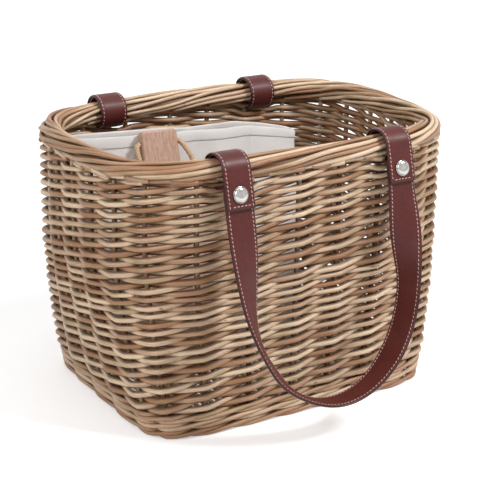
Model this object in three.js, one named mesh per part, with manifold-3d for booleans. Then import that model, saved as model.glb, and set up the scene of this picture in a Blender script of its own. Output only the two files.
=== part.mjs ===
// Willow picnic basket with two strap handles, a canvas bag and a serving board inside.
// Millimetres, +Z up. The origin is on the floor under the middle of the basket, the long side
// lies along X, and the front, with the handle that hangs forward, faces -Y.
import * as THREE from 'three';
import { mergeVertices } from 'three/addons/utils/BufferGeometryUtils.js';
import Module from 'manifold-3d';

// Basket outline: half length, half width and squareness at the floor and at full width
const HEIGHT = 285;
const BASE_HALF_LENGTH = 168;
const BASE_HALF_WIDTH = 129;
const BASE_SQUARENESS = 6.6;
const TOP_HALF_LENGTH = 199.5;
const TOP_HALF_WIDTH = 138.6;
const TOP_SQUARENESS = 3.53;
const FLARE_HEIGHT = 190;
const FLARE_POWER = 1.5;

// Wall of the basket
const WALL = 9;
const FIT_GAP = 0.3;
const LOWER_PITCH = 11.5;
const LOWER_SHRINK = 0.0264;
const UPPER_PITCH = 11.3;
const UPPER_SHRINK = 0.02252;
const ROW_FOOT = 1.6;
const ROW_END = 1.5;
const ROD_BULGE = 3;
const ROW_GAP_DEPTH = 1.9;
const BETWEEN_STAKES_DEPTH = 3;
const WALE_HEIGHT = 25;
const WALE_BULGE = 2;
const WALE_CORNER = 6;
const SECOND_WEAVE_START = 150;
const BORDER_DIAMETER = 24;
const BORDER_INSET = 8.4;

// Stakes: places along a side as shares of its reach; the insets hold the end stakes of a side
// back from the corners
const FRONT_STAKE_PLACES = [-1, -0.73, -0.41, -0.085, 0.19, 0.475, 0.76, 1];
const SIDE_STAKE_PLACES = [-1, -0.5, 0, 0.5, 1];
const FRONT_STAKE_INSET = 27.5;
const FRONT_STAKE_INSET_LOW = 18;
const SIDE_STAKE_INSET = 60.6;
const SIDE_STAKE_INSET_LOW = 31;
const STAKE_DIAMETER = 5.5;
const STAKE_FOOT = 1.5;
const STAKE_CLEARANCE = 0.6;

// Bottom of the basket
const BASE_LIFT = 3;
const BASE_THICKNESS = 10;
const BASE_STICKS = 5;
const BASE_STICK_DIAMETER = 6;
const BASE_STICK_SPACING = 42;
const BASE_STICK_END = 14;

// Strap handles
const STRAP_WIDTH = 31;
const STRAP_THICKNESS = 3;
const STRAP_PLY_GAP = 0.3;
const TAB_OFFSET = 93.5;
const LOOP_CLEARANCE = 2.8;
const LOOP_BEND = 4;
const FLAP_BEYOND_RIVET = 14.2;
const FLAP_START = 6;
const HANDLE_TILT = 15;
const HANDLE_FLOOR_GAP = 37.5;
const HANDLE_SAG = 14;
const HANDLE_BOW = 122;
const LEFT_TWIST = { start: 50, end: 195, angle: 62 };
const RIGHT_TWIST = { start: 35, end: 150, angle: 78 };
const BOTTOM_TWIST = 89;
const BOTTOM_TWIST_START = 200;
const NOTCH_CLEARANCE = 1.5;

// Rivets
const RIVET_CAP_DIAMETER = 16;
const RIVET_CAP_HEIGHT = 3.6;
const RIVET_RIM = 0.8;
const RIVET_POST_DIAMETER = 4;
const RIVET_BACK_DIAMETER = 8;
const RIVET_BACK_THICKNESS = 1.3;

// Canvas bag: it stands by the back wall, deep at its foot and narrow at its mouth
const BAG_LENGTH = 266;
const BAG_END_CLEARANCE = 34;
const BAG_BACK_CLEARANCE = 31.6;
const BAG_FOOT_DEPTH = 102;
const BAG_MOUTH_DEPTH = 26;
const BAG_BELOW_RIM = 23;
const BAG_SLOPE = 0.093;
const BAG_SQUARENESS = 5;
const BAG_FOOT_ROUNDING = 9;
const BAG_MOUTH_ROUNDING = 4;
const BAG_GATHER = 0.05;
const BAG_STEPS = 44;

// Serving board with its rope loop; it leans back on the front of the bag
const BOARD_LENGTH = 259;
const BOARD_WIDTH = 118;
const BOARD_THICKNESS = 12;
const BOARD_HANDLE_WIDTH = 42;
const BOARD_HANDLE_LENGTH = 70;
const BOARD_SHOULDER = 24;
const BOARD_CORNER = 5;
const BOARD_BAG_GAP = 1;
const BOARD_END_CLEARANCE = 33;
const ROPE_DIAMETER = 6;
const ROPE_HOLE_DIAMETER = 10;
const ROPE_HOLE_DROP = 13;
const ROPE_SPREAD_LEFT = 5;
const ROPE_SPREAD_RIGHT = 15;
const ROPE_DROP = 96;

// Fineness of the faceted solids
const OUTLINE_STEPS = 56;
const BORDER_SIDES = 10;
const ROD_SIDES = 6;
const ARC_STEP = 22.5;
const ROUND_STEPS = 16;

const WILLOW = { color: 0xb99873, roughness: 0.72, metalness: 0 };
const STAKE_WILLOW = { color: 0xa98a60, roughness: 0.72, metalness: 0 };
const LEATHER = { color: 0x66332c, roughness: 0.45, metalness: 0 };
const NICKEL = { color: 0xc9ccd0, roughness: 0.15, metalness: 1 };
const CANVAS = { color: 0xcdc9c4, roughness: 0.9, metalness: 0 };
const BOARD_WOOD = { color: 0xa98a7c, roughness: 0.6, metalness: 0 };
const JUTE = { color: 0xb49272, roughness: 0.9, metalness: 0 };

const wasm = await Module();
wasm.setup();

const basket = new THREE.Group();

function addPiece(parent, name, geometry, finish) {
  const mesh = new THREE.Mesh(geometry, new THREE.MeshStandardMaterial(finish));
  mesh.name = name;
  parent.add(mesh);
  return mesh;
}

function mix(low, high, share) {
  return low + (high - low) * share;
}

function smooth(share) {
  const t = THREE.MathUtils.clamp(share, 0, 1);
  return t * t * (3 - 2 * t);
}

function radians(degrees) {
  return THREE.MathUtils.degToRad(degrees);
}

// Meshes built from rings of points

function geometryOf(points, triangles) {
  const geometry = new THREE.BufferGeometry();
  const positions = points.flatMap((p) => [p.x, p.y, p.z]);
  geometry.setAttribute('position', new THREE.Float32BufferAttribute(positions, 3));
  geometry.setIndex(triangles);
  return geometry;
}

// Rings of equal count joined one after the other; a closed loft has no end faces.
// Each ring runs anticlockwise as seen from where the loft is heading.
function loft(rings, closed) {
  const count = rings[0].length;
  const triangles = [];
  const spans = closed ? rings.length : rings.length - 1;
  for (let i = 0; i < spans; i += 1) {
    const here = i * count;
    const there = ((i + 1) % rings.length) * count;
    for (let j = 0; j < count; j += 1) {
      const k = (j + 1) % count;
      triangles.push(here + j, here + k, there + k);
      triangles.push(here + j, there + k, there + j);
    }
  }
  if (!closed) {
    const last = (rings.length - 1) * count;
    for (let j = 1; j < count - 1; j += 1) {
      triangles.push(0, j + 1, j);
      triangles.push(last, last + j, last + j + 1);
    }
  }
  return geometryOf(rings.flat(), triangles);
}

function toManifold(geometry) {
  const bare = geometry.clone();
  bare.deleteAttribute('normal');
  bare.deleteAttribute('uv');
  const merged = mergeVertices(bare, 1e-4);
  const mesh = new wasm.Mesh({
    numProp: 3,
    vertProperties: new Float32Array(merged.attributes.position.array),
    triVerts: new Uint32Array(merged.index.array),
  });
  return new wasm.Manifold(mesh);
}

function fromManifold(solid) {
  const mesh = solid.getMesh();
  const geometry = new THREE.BufferGeometry();
  geometry.setAttribute('position', new THREE.BufferAttribute(mesh.vertProperties, 3));
  geometry.setIndex(new THREE.BufferAttribute(mesh.triVerts, 1));
  return geometry;
}

function cut(geometry, tools) {
  let solid = toManifold(geometry);
  for (const tool of tools) {
    solid = solid.subtract(toManifold(tool));
  }
  return fromManifold(solid);
}

// Basket outline: a superellipse whose sizes grow from the floor to the flare height

function outlineAt(z) {
  const rise = 1 - Math.pow(Math.max(0, 1 - z / FLARE_HEIGHT), FLARE_POWER);
  return {
    a: mix(BASE_HALF_LENGTH, TOP_HALF_LENGTH, rise),
    b: mix(BASE_HALF_WIDTH, TOP_HALF_WIDTH, rise),
    n: mix(BASE_SQUARENESS, TOP_SQUARENESS, rise),
    rise,
  };
}

function signedPower(value, power) {
  return Math.sign(value) * Math.pow(Math.abs(value), power);
}

function outwardNormal(shape, x, y) {
  return new THREE.Vector3(
    signedPower(x / shape.a, shape.n - 1) / shape.a,
    signedPower(y / shape.b, shape.n - 1) / shape.b,
    0,
  ).normalize();
}

// Point at an angle round the outline, moved in from it by depth
function outlinePoint(z, angle, depth) {
  const shape = outlineAt(z);
  const x = shape.a * signedPower(Math.cos(angle), 2 / shape.n);
  const y = shape.b * signedPower(Math.sin(angle), 2 / shape.n);
  const normal = outwardNormal(shape, x, y);
  return new THREE.Vector3(x, y, z).addScaledVector(normal, -depth);
}

// Distance of the outline from the long axis, at a place along it
function outlineWidth(shape, x) {
  return shape.b * Math.pow(1 - Math.pow(Math.abs(x) / shape.a, shape.n), 1 / shape.n);
}

function outlineRing(z, depth) {
  const ring = [];
  for (let i = 0; i < OUTLINE_STEPS; i += 1) {
    ring.push(outlinePoint(z, ((i + 0.5) / OUTLINE_STEPS) * 2 * Math.PI, depth));
  }
  return ring;
}

// Closed band round the basket; its section is a list of heights and depths that goes down
// the inside and up the outside
function band(section) {
  const rings = section.map(([z, depth]) => outlineRing(z, depth)).reverse();
  const columns = [];
  for (let i = 0; i < OUTLINE_STEPS; i += 1) {
    columns.push(rings.map((ring) => ring[i]));
  }
  return loft(columns, true);
}

// Walls

const BORDER_RADIUS = BORDER_DIAMETER / 2;
const BORDER_CENTRE_Z = HEIGHT - BORDER_RADIUS;
const WALL_TOP = BORDER_CENTRE_Z - BORDER_RADIUS - FIT_GAP;
const LOWER_TOP = SECOND_WEAVE_START - FIT_GAP;
const LOWER_MIDDLE = (WALE_HEIGHT + SECOND_WEAVE_START) / 2;
const LOOP_RADIUS = BORDER_RADIUS + LOOP_CLEARANCE + STRAP_THICKNESS / 2;

function waleSection() {
  const top = WALE_HEIGHT - FIT_GAP;
  return [
    [top, WALL],
    [0, WALL],
    [0, WALE_CORNER - WALE_BULGE],
    [WALE_CORNER, -WALE_BULGE],
    [top - WALE_CORNER, -WALE_BULGE],
    [top, WALE_CORNER / 2 - WALE_BULGE],
  ];
}

function borderSection() {
  const section = [];
  for (let i = 0; i < BORDER_SIDES; i += 1) {
    const angle = ((i + 0.5) / BORDER_SIDES) * 2 * Math.PI;
    const z = BORDER_CENTRE_Z - BORDER_RADIUS * Math.cos(angle);
    section.push([z, BORDER_INSET - BORDER_RADIUS * Math.sin(angle)]);
  }
  return section;
}

// Stakes: each has a place along its side that shifts with height as the basket flares

function stakePoint(stake, z, depth) {
  const shape = outlineAt(z);
  const along = stake.share * mix(stake.lowReach, stake.reach, shape.rise);
  let x = along;
  let y = along;
  if (stake.onFront) {
    y = stake.side * outlineWidth(shape, x);
  } else {
    x = stake.side * shape.a * Math.pow(1 - Math.pow(Math.abs(y) / shape.b, shape.n), 1 / shape.n);
  }
  const normal = outwardNormal(shape, x, y);
  const tangent = new THREE.Vector3(-normal.y, normal.x, 0);
  const point = new THREE.Vector3(x, y, z).addScaledVector(normal, -depth);
  return { point, normal, tangent };
}

function stakeList() {
  const stakes = [];
  const addSide = (onFront, side, places, reach, lowReach) => {
    for (const share of places) {
      stakes.push({ onFront, side, share, reach, lowReach });
    }
  };
  const addFront = (side) => {
    const lowReach = BASE_HALF_LENGTH - FRONT_STAKE_INSET_LOW;
    addSide(true, side, FRONT_STAKE_PLACES, TOP_HALF_LENGTH - FRONT_STAKE_INSET, lowReach);
  };
  const addEnd = (side) => {
    const lowReach = BASE_HALF_WIDTH - SIDE_STAKE_INSET_LOW;
    addSide(false, side, SIDE_STAKE_PLACES, TOP_HALF_WIDTH - SIDE_STAKE_INSET, lowReach);
  };
  addFront(-1);
  addEnd(1);
  addFront(1);
  addEnd(-1);
  return stakes;
}

const STAKE_RADIUS = STAKE_DIAMETER / 2;
const STAKE_DEPTH = WALL - FIT_GAP - STAKE_RADIUS;
const STAKE_HEIGHTS = [
  STAKE_FOOT, WALE_HEIGHT, LOWER_MIDDLE, SECOND_WEAVE_START, FLARE_HEIGHT, WALL_TOP,
];

function stakeRod(stake) {
  const rings = STAKE_HEIGHTS.map((z) => {
    const place = stakePoint(stake, z, STAKE_DEPTH);
    const ring = [];
    for (let i = 0; i < ROD_SIDES; i += 1) {
      const angle = ((i + 0.5) / ROD_SIDES) * 2 * Math.PI;
      ring.push(place.point.clone()
        .addScaledVector(place.normal, STAKE_RADIUS * Math.cos(angle))
        .addScaledVector(place.tangent, STAKE_RADIUS * Math.sin(angle)));
    }
    return ring;
  });
  return loft(rings, false);
}

// Groove in the inside of the wall that a stake lies in, open to the inside
function stakeGroove(stake) {
  const outer = STAKE_RADIUS + STAKE_CLEARANCE;
  const heights = [STAKE_FOOT - WALL, ...STAKE_HEIGHTS, WALL_TOP + WALL];
  const rings = heights.map((z) => {
    const place = stakePoint(stake, THREE.MathUtils.clamp(z, STAKE_FOOT, WALL_TOP), STAKE_DEPTH);
    const corner = (across, along) => {
      const point = place.point.clone();
      point.addScaledVector(place.normal, across).addScaledVector(place.tangent, along);
      point.z = z;
      return point;
    };
    return [corner(outer, -outer), corner(outer, outer), corner(-WALL, outer), corner(-WALL, -outer)];
  });
  return loft(rings, false);
}

const stakes = stakeList();

// The handles turn about the border's middle line, taken halfway between a tab's two edges
function borderMiddleWidth(x) {
  const shape = outlineAt(BORDER_CENTRE_Z);
  const y = outlineWidth(shape, x);
  return y - BORDER_INSET * outwardNormal(shape, x, y).y;
}

const TAB_INNER = TAB_OFFSET - STRAP_WIDTH / 2;
const TAB_OUTER = TAB_OFFSET + STRAP_WIDTH / 2;
const HINGE_Y = -(borderMiddleWidth(TAB_INNER) + borderMiddleWidth(TAB_OUTER)) / 2;

// Notch in the top of the wall that a strap loop passes through
function strapNotch(x, side) {
  const width = STRAP_WIDTH + 2 * NOTCH_CLEARANCE;
  const reach = LOOP_RADIUS + STRAP_THICKNESS / 2 + NOTCH_CLEARANCE;
  const floor = BORDER_CENTRE_Z - reach;
  const depth = 2 * BORDER_DIAMETER;
  const notch = new THREE.BoxGeometry(width, depth, BORDER_DIAMETER);
  notch.translate(x, side * HINGE_Y, floor + BORDER_RADIUS);
  return notch;
}

const notches = [-1, 1].flatMap((side) => [-1, 1].map((end) => strapNotch(end * TAB_OFFSET, side)));

// Point halfway between two neighbouring stakes
function pointBetween(stake, next, z, depth) {
  const shape = outlineAt(z);
  const turnOf = (place) => {
    const { point } = stakePoint(place, z, 0);
    return Math.atan2(point.y / shape.b, point.x / shape.a);
  };
  const first = turnOf(stake);
  const second = turnOf(next);
  const turn = (first + second + (second < first ? 2 * Math.PI : 0)) / 2;
  const cosine = Math.cos(turn);
  const sine = Math.sin(turn);
  const round = Math.pow(Math.abs(cosine), shape.n) + Math.pow(Math.abs(sine), shape.n);
  const x = shape.a * cosine * Math.pow(round, -1 / shape.n);
  const y = shape.b * sine * Math.pow(round, -1 / shape.n);
  return new THREE.Vector3(x, y, z).addScaledVector(outwardNormal(shape, x, y), -depth);
}

// Heights of the rods in front of a stake and of the gaps between them, which draw together upward
function rowHeights(foot, top, pitch, shrink) {
  const heights = [];
  let z = foot;
  for (let step = 1; z < top; step += 1) {
    heights.push(z);
    z = foot + ROW_FOOT + (pitch / shrink) * (1 - Math.exp((-shrink * step) / 2));
    if (z > top - ROW_END) {
      break;
    }
  }
  return [...heights, top];
}

// Band of weave: its outside stands out where a rod passes in front of a stake, and lies deeper
// between two such rods and between two stakes
function wovenBand(foot, top, middle, pitch, shrink) {
  const turnOf = (stake) => {
    const { point } = stakePoint(stake, middle, 0);
    return Math.atan2(point.y, point.x);
  };
  const order = [...stakes].sort((one, other) => turnOf(one) - turnOf(other));
  const rows = rowHeights(foot, top, pitch, shrink);
  const columns = [];
  const addColumn = (pointAt, depthOf) => {
    const inside = [top, middle, foot].map((z) => pointAt(z, WALL));
    const outside = rows.map((z, row) => pointAt(z, depthOf(row)));
    columns.push([...inside, ...outside].reverse());
  };
  order.forEach((stake, index) => {
    const next = order[(index + 1) % order.length];
    addColumn((z, depth) => stakePoint(stake, z, depth).point, (row) => (row % 2 ? -ROD_BULGE : ROW_GAP_DEPTH));
    addColumn((z, depth) => pointBetween(stake, next, z, depth), () => BETWEEN_STAKES_DEPTH);
  });
  return loft(columns, true);
}

const grooves = stakes.map(stakeGroove);
const lowerBand = wovenBand(WALE_HEIGHT, LOWER_TOP, LOWER_MIDDLE, LOWER_PITCH, LOWER_SHRINK);
const upperBand = wovenBand(SECOND_WEAVE_START, WALL_TOP, FLARE_HEIGHT, UPPER_PITCH, UPPER_SHRINK);
addPiece(basket, 'bottom_wale', cut(band(waleSection()), grooves), WILLOW);
addPiece(basket, 'lower_weave', cut(lowerBand, grooves), WILLOW);
addPiece(basket, 'upper_weave', cut(upperBand, [...grooves, ...notches]), WILLOW);
addPiece(basket, 'border', band(borderSection()), WILLOW);
stakes.forEach((stake, index) => {
  const number = String(index + 1).padStart(2, '0');
  addPiece(basket, `stake_${number}`, cut(stakeRod(stake), notches), STAKE_WILLOW);
});

// Bottom: a woven panel on five sticks that lie in its top

const BASE_TOP = BASE_LIFT + BASE_THICKNESS;

function baseStickPlace(index) {
  return (index - (BASE_STICKS - 1) / 2) * BASE_STICK_SPACING;
}

function bar(halfLength, radius, y, z, sides) {
  const rod = new THREE.CylinderGeometry(radius, radius, 2 * halfLength, sides);
  rod.rotateZ(Math.PI / 2);
  rod.rotateX(Math.PI / sides);
  rod.translate(0, y, z);
  return rod;
}

function basePanel() {
  const low = outlineRing(BASE_LIFT, WALL + FIT_GAP);
  const high = low.map((point) => point.clone().setZ(BASE_TOP));
  const slots = [];
  for (let i = 0; i < BASE_STICKS; i += 1) {
    const width = BASE_STICK_DIAMETER + 2 * FIT_GAP;
    const slot = new THREE.BoxGeometry(2 * BASE_HALF_LENGTH, width, 2 * width);
    slot.translate(0, baseStickPlace(i), BASE_TOP);
    slots.push(slot);
  }
  return cut(loft([low, high], false), slots);
}

addPiece(basket, 'base_weave', basePanel(), WILLOW);
for (let i = 0; i < BASE_STICKS; i += 1) {
  const radius = BASE_STICK_DIAMETER / 2;
  const half = BASE_HALF_LENGTH - WALL - BASE_STICK_END;
  const height = BASE_TOP - radius - FIT_GAP;
  const stick = bar(half, radius, baseStickPlace(i), height, ROD_SIDES);
  addPiece(basket, `base_stick_${i + 1}`, stick, STAKE_WILLOW);
}

// Strap handle, in a plane that leans out from the border's middle line.
// Out and down are measured from the hinge line, out at right angles to the plane.

const TILT = radians(HANDLE_TILT);
const OUT = new THREE.Vector3(0, -Math.cos(TILT), Math.sin(TILT));
const DOWN = new THREE.Vector3(0, -Math.sin(TILT), -Math.cos(TILT));
const HINGE = new THREE.Vector3(0, HINGE_Y, BORDER_CENTRE_Z);
const FLAP_OUT = LOOP_RADIUS + STRAP_THICKNESS + STRAP_PLY_GAP;
const RIVET_DROP = LOOP_RADIUS + LOOP_BEND + RIVET_BACK_DIAMETER / 2;
const FLAP_LENGTH = RIVET_DROP + FLAP_BEYOND_RIVET;
const HANDLE_DROP = (BORDER_CENTRE_Z - HANDLE_FLOOR_GAP) / Math.cos(TILT);

function handlePoint(x, out, down) {
  return HINGE.clone().addScaledVector(OUT, out).addScaledVector(DOWN, down).setX(x);
}

// How far the strap hangs back toward the basket at a given drop
function sagAt(down) {
  const share = Math.max(0, (down - RIVET_DROP) / (HANDLE_DROP - RIVET_DROP));
  return HANDLE_SAG * share * share;
}

// Angle by which the strap is turned out of the handle's plane; both sides meet at the bottom
function twistAt(down, side) {
  const { start, end, angle } = side < 0 ? LEFT_TWIST : RIGHT_TWIST;
  const early = angle * smooth((down - start) / (end - start));
  const bottomSpan = HANDLE_DROP - BOTTOM_TWIST_START;
  const late = (BOTTOM_TWIST - angle) * smooth((down - BOTTOM_TWIST_START) / bottomSpan);
  return radians(early + late);
}

// Middle line of the end that goes round the border, from the flap's end to the strap
function tabPath() {
  const path = [[FLAP_OUT, FLAP_LENGTH], [FLAP_OUT, FLAP_START]];
  for (let angle = 90; angle <= 360; angle += ARC_STEP) {
    const radius = mix(FLAP_OUT, LOOP_RADIUS, smooth((angle - 90) / 90));
    const turn = radians(angle);
    path.push([radius * Math.sin(turn), radius * Math.cos(turn)]);
  }
  const corner = LOOP_RADIUS - LOOP_BEND;
  for (let angle = 90; angle >= 0; angle -= ARC_STEP) {
    const turn = radians(angle);
    path.push([corner + LOOP_BEND * Math.cos(turn), LOOP_RADIUS + LOOP_BEND * (1 - Math.sin(turn))]);
  }
  return path;
}

// Middle line of the hanging loop from one tab to the bottom, as half widths and drops
function hangingPath() {
  const straightEnd = HANDLE_DROP - HANDLE_BOW;
  const straightSteps = 9;
  const bowSteps = 8;
  const path = [];
  for (let i = 0; i <= straightSteps; i += 1) {
    path.push([TAB_OFFSET, mix(FLAP_LENGTH, straightEnd, i / straightSteps)]);
  }
  for (let i = 1; i <= bowSteps; i += 1) {
    const turn = (i / bowSteps) * (Math.PI / 2);
    path.push([TAB_OFFSET * Math.cos(turn), straightEnd + HANDLE_BOW * Math.sin(turn)]);
  }
  return path;
}

function strapStations() {
  const left = tabPath().map(([out, down]) => ({ point: handlePoint(-TAB_OFFSET, out, down), drop: 0 }));
  const hanging = hangingPath();
  const branch = (side) => hanging.map(([half, down]) => ({
    point: handlePoint(side * half, LOOP_RADIUS - sagAt(down), down),
    drop: down,
    side,
  }));
  const rightHanging = branch(1).slice(0, -1).reverse();
  const right = left.map((station) => ({ point: station.point.clone().setX(TAB_OFFSET), drop: 0 })).reverse();
  return [...left, ...branch(-1), ...rightHanging, ...right];
}

function sagNormal(down) {
  const step = 1;
  const slope = (sagAt(down + step) - sagAt(down)) / step;
  return OUT.clone().addScaledVector(DOWN, slope).normalize();
}

function strapGeometry() {
  const stations = strapStations();
  const rings = stations.map((station, index) => {
    const before = stations[Math.max(0, index - 1)].point;
    const after = stations[Math.min(stations.length - 1, index + 1)].point;
    const along = after.clone().sub(before).normalize();
    const half = new THREE.Vector3();
    const firstHalf = index < stations.length / 2;
    if (station.drop > 0) {
      const face = sagNormal(station.drop);
      const outside = along.clone().cross(face).normalize();
      const twist = twistAt(station.drop, station.side);
      half.addScaledVector(outside, Math.cos(twist)).addScaledVector(face, Math.sin(twist));
    } else {
      half.set(firstHalf ? -1 : 1, 0, 0);
    }
    half.addScaledVector(along, -half.dot(along)).normalize();
    const face = along.clone().cross(half);
    const corner = (across, through) => station.point.clone()
      .addScaledVector(half, (across * STRAP_WIDTH) / 2)
      .addScaledVector(face, (through * STRAP_THICKNESS) / 2);
    return [corner(1, 1), corner(-1, 1), corner(-1, -1), corner(1, -1)];
  });
  return loft(rings, false);
}

// Turned shape whose axis points out of the handle's plane at a rivet
function atRivet(geometry, x) {
  geometry.rotateX(Math.PI - TILT);
  const place = handlePoint(x, 0, RIVET_DROP);
  geometry.translate(place.x, place.y, place.z);
  return geometry;
}

const POST_RADIUS = RIVET_POST_DIAMETER / 2;
const BACK_OUT = LOOP_RADIUS - STRAP_THICKNESS / 2 - FIT_GAP;
const POST_END = BACK_OUT - RIVET_BACK_THICKNESS;
const CAP_OUT = FLAP_OUT + STRAP_THICKNESS / 2 + FIT_GAP;

function rivetCap(x) {
  const radius = RIVET_CAP_DIAMETER / 2;
  const profile = [new THREE.Vector2(0, POST_END), new THREE.Vector2(POST_RADIUS, POST_END)];
  profile.push(new THREE.Vector2(POST_RADIUS, CAP_OUT));
  profile.push(new THREE.Vector2(radius, CAP_OUT));
  const domeSteps = 4;
  for (let i = 0; i <= domeSteps; i += 1) {
    const turn = (i / domeSteps) * (Math.PI / 2);
    const height = RIVET_RIM + (RIVET_CAP_HEIGHT - RIVET_RIM) * Math.sin(turn);
    profile.push(new THREE.Vector2(i === domeSteps ? 0 : radius * Math.cos(turn), CAP_OUT + height));
  }
  return atRivet(closedTurn(profile), x);
}

function rivetBack(x) {
  const bore = POST_RADIUS + FIT_GAP;
  const rim = RIVET_BACK_DIAMETER / 2;
  const corners = [[bore, POST_END], [rim, POST_END], [rim, BACK_OUT], [bore, BACK_OUT], [bore, POST_END]];
  return atRivet(closedTurn(corners.map(([r, y]) => new THREE.Vector2(r, y))), x);
}

function closedTurn(profile) {
  const turned = new THREE.LatheGeometry(profile, ROUND_STEPS);
  turned.deleteAttribute('normal');
  turned.deleteAttribute('uv');
  return fromManifold(toManifold(turned));
}

function rivetHole(x) {
  const hole = new THREE.CylinderGeometry(1, 1, 1, ROUND_STEPS / 2);
  const radius = POST_RADIUS + 2 * FIT_GAP;
  hole.scale(radius, 2 * STRAP_WIDTH, radius);
  hole.translate(0, STRAP_WIDTH, 0);
  return atRivet(hole, x);
}

function addHandle(label, turn) {
  const handle = new THREE.Group();
  handle.rotation.z = turn;
  basket.add(handle);
  const tabs = [['left', -TAB_OFFSET], ['right', TAB_OFFSET]];
  const strap = cut(strapGeometry(), tabs.map(([, x]) => rivetHole(x)));
  addPiece(handle, `${label}_handle_strap`, strap, LEATHER);
  for (const [side, x] of tabs) {
    addPiece(handle, `${label}_${side}_rivet_cap`, rivetCap(x), NICKEL);
    addPiece(handle, `${label}_${side}_rivet_back`, rivetBack(x), NICKEL);
  }
}

addHandle('front', 0);
addHandle('back', Math.PI);

// Canvas bag: its ends spread a little upward, its front leans back and its mouth slopes
// down to the right

const CONTENTS_FLOOR = BASE_TOP + FIT_GAP;
const INNER_HALF_LENGTH = TOP_HALF_LENGTH - WALL;
const INNER_HALF_WIDTH = TOP_HALF_WIDTH - WALL;
const BAG_LEFT = -(INNER_HALF_LENGTH - BAG_END_CLEARANCE);
const BAG_BACK = INNER_HALF_WIDTH - BAG_BACK_CLEARANCE;
const BAG_TOP = HEIGHT - BAG_BELOW_RIM;
const BAG_HEIGHT = BAG_TOP - CONTENTS_FLOOR;
const BAG_FOOT_SHARE = BASE_HALF_LENGTH / TOP_HALF_LENGTH;
const BAG_FOOT_FRONT = BAG_BACK - BAG_FOOT_DEPTH;

// Ring of the bag at a height; spread below 1 draws it in to close the bag
function bagRing(z, inset, spread) {
  const share = (z - CONTENTS_FLOOR) / BAG_HEIGHT;
  const halfLength = (BAG_LENGTH / 2) * mix(BAG_FOOT_SHARE, 1, smooth(share / 0.6)) - inset;
  const halfDepth = mix(BAG_FOOT_DEPTH, BAG_MOUTH_DEPTH, share) / 2 - inset;
  const centreX = BAG_LEFT + BAG_LENGTH / 2;
  const centreY = BAG_BACK - inset - halfDepth;
  const ring = [];
  for (let i = 0; i < BAG_STEPS; i += 1) {
    const angle = ((i + 0.5) / BAG_STEPS) * 2 * Math.PI;
    const round = Math.pow(Math.abs(Math.cos(angle)), BAG_SQUARENESS)
      + Math.pow(Math.abs(Math.sin(angle)), BAG_SQUARENESS);
    const reach = spread * Math.pow(round, -1 / BAG_SQUARENESS);
    const x = centreX + halfLength * Math.cos(angle) * reach;
    const y = centreY + halfDepth * Math.sin(angle) * reach;
    ring.push(new THREE.Vector3(x, y, z - BAG_SLOPE * (x - BAG_LEFT) * share * share));
  }
  return ring;
}

function bagGeometry() {
  const foot = CONTENTS_FLOOR + BAG_FOOT_ROUNDING;
  const mouth = BAG_TOP - BAG_MOUTH_ROUNDING;
  const rings = [
    bagRing(CONTENTS_FLOOR, BAG_FOOT_ROUNDING, BAG_GATHER),
    bagRing(CONTENTS_FLOOR, BAG_FOOT_ROUNDING, 1),
    bagRing(foot, 0, 1),
    bagRing(mix(foot, mouth, 1 / 3), 0, 1),
    bagRing(mix(foot, mouth, 2 / 3), 0, 1),
    bagRing(mouth, 0, 1),
    bagRing(BAG_TOP, BAG_MOUTH_ROUNDING, 1),
    bagRing(BAG_TOP, BAG_MOUTH_ROUNDING, BAG_GATHER),
  ];
  return loft(rings, false);
}

addPiece(basket, 'canvas_bag', bagGeometry(), CANVAS);

// Serving board: a paddle that stands on its end and leans back at the slope of the bag's front

const BOARD_BODY = BOARD_LENGTH - BOARD_HANDLE_LENGTH - BOARD_SHOULDER;
const BOARD_CENTRE = -(BASE_HALF_LENGTH - WALL - BOARD_END_CLEARANCE - BOARD_WIDTH / 2);
const BOARD_LEAN = Math.atan2(BAG_FOOT_DEPTH - BAG_MOUTH_DEPTH, BAG_HEIGHT);

function boardOutline() {
  const body = BOARD_WIDTH / 2;
  const grip = BOARD_HANDLE_WIDTH / 2;
  const top = BOARD_LENGTH;
  const shape = new THREE.Shape();
  shape.moveTo(-body + BOARD_CORNER, 0);
  shape.lineTo(body - BOARD_CORNER, 0);
  shape.quadraticCurveTo(body, 0, body, BOARD_CORNER);
  shape.lineTo(body, BOARD_BODY);
  shape.bezierCurveTo(body, BOARD_BODY + BOARD_SHOULDER, grip, BOARD_BODY, grip, BOARD_BODY + BOARD_SHOULDER);
  shape.lineTo(grip, top - BOARD_CORNER);
  shape.quadraticCurveTo(grip, top, grip - BOARD_CORNER, top);
  shape.lineTo(-grip + BOARD_CORNER, top);
  shape.quadraticCurveTo(-grip, top, -grip, top - BOARD_CORNER);
  shape.lineTo(-grip, BOARD_BODY + BOARD_SHOULDER);
  shape.bezierCurveTo(-grip, BOARD_BODY, -body, BOARD_BODY + BOARD_SHOULDER, -body, BOARD_BODY);
  shape.lineTo(-body, BOARD_CORNER);
  shape.quadraticCurveTo(-body, 0, -body + BOARD_CORNER, 0);
  return shape;
}

// Board shapes are drawn upright with their foot at the origin, then leaned back and set in place
function placeOnBoard(geometry) {
  const half = BOARD_THICKNESS / 2;
  const lift = half * Math.sin(BOARD_LEAN);
  const foot = BAG_FOOT_FRONT - (half + BOARD_BAG_GAP) / Math.cos(BOARD_LEAN);
  geometry.rotateX(-BOARD_LEAN);
  geometry.translate(BOARD_CENTRE, foot + lift * Math.tan(BOARD_LEAN), CONTENTS_FLOOR + lift);
  return geometry;
}

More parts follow.
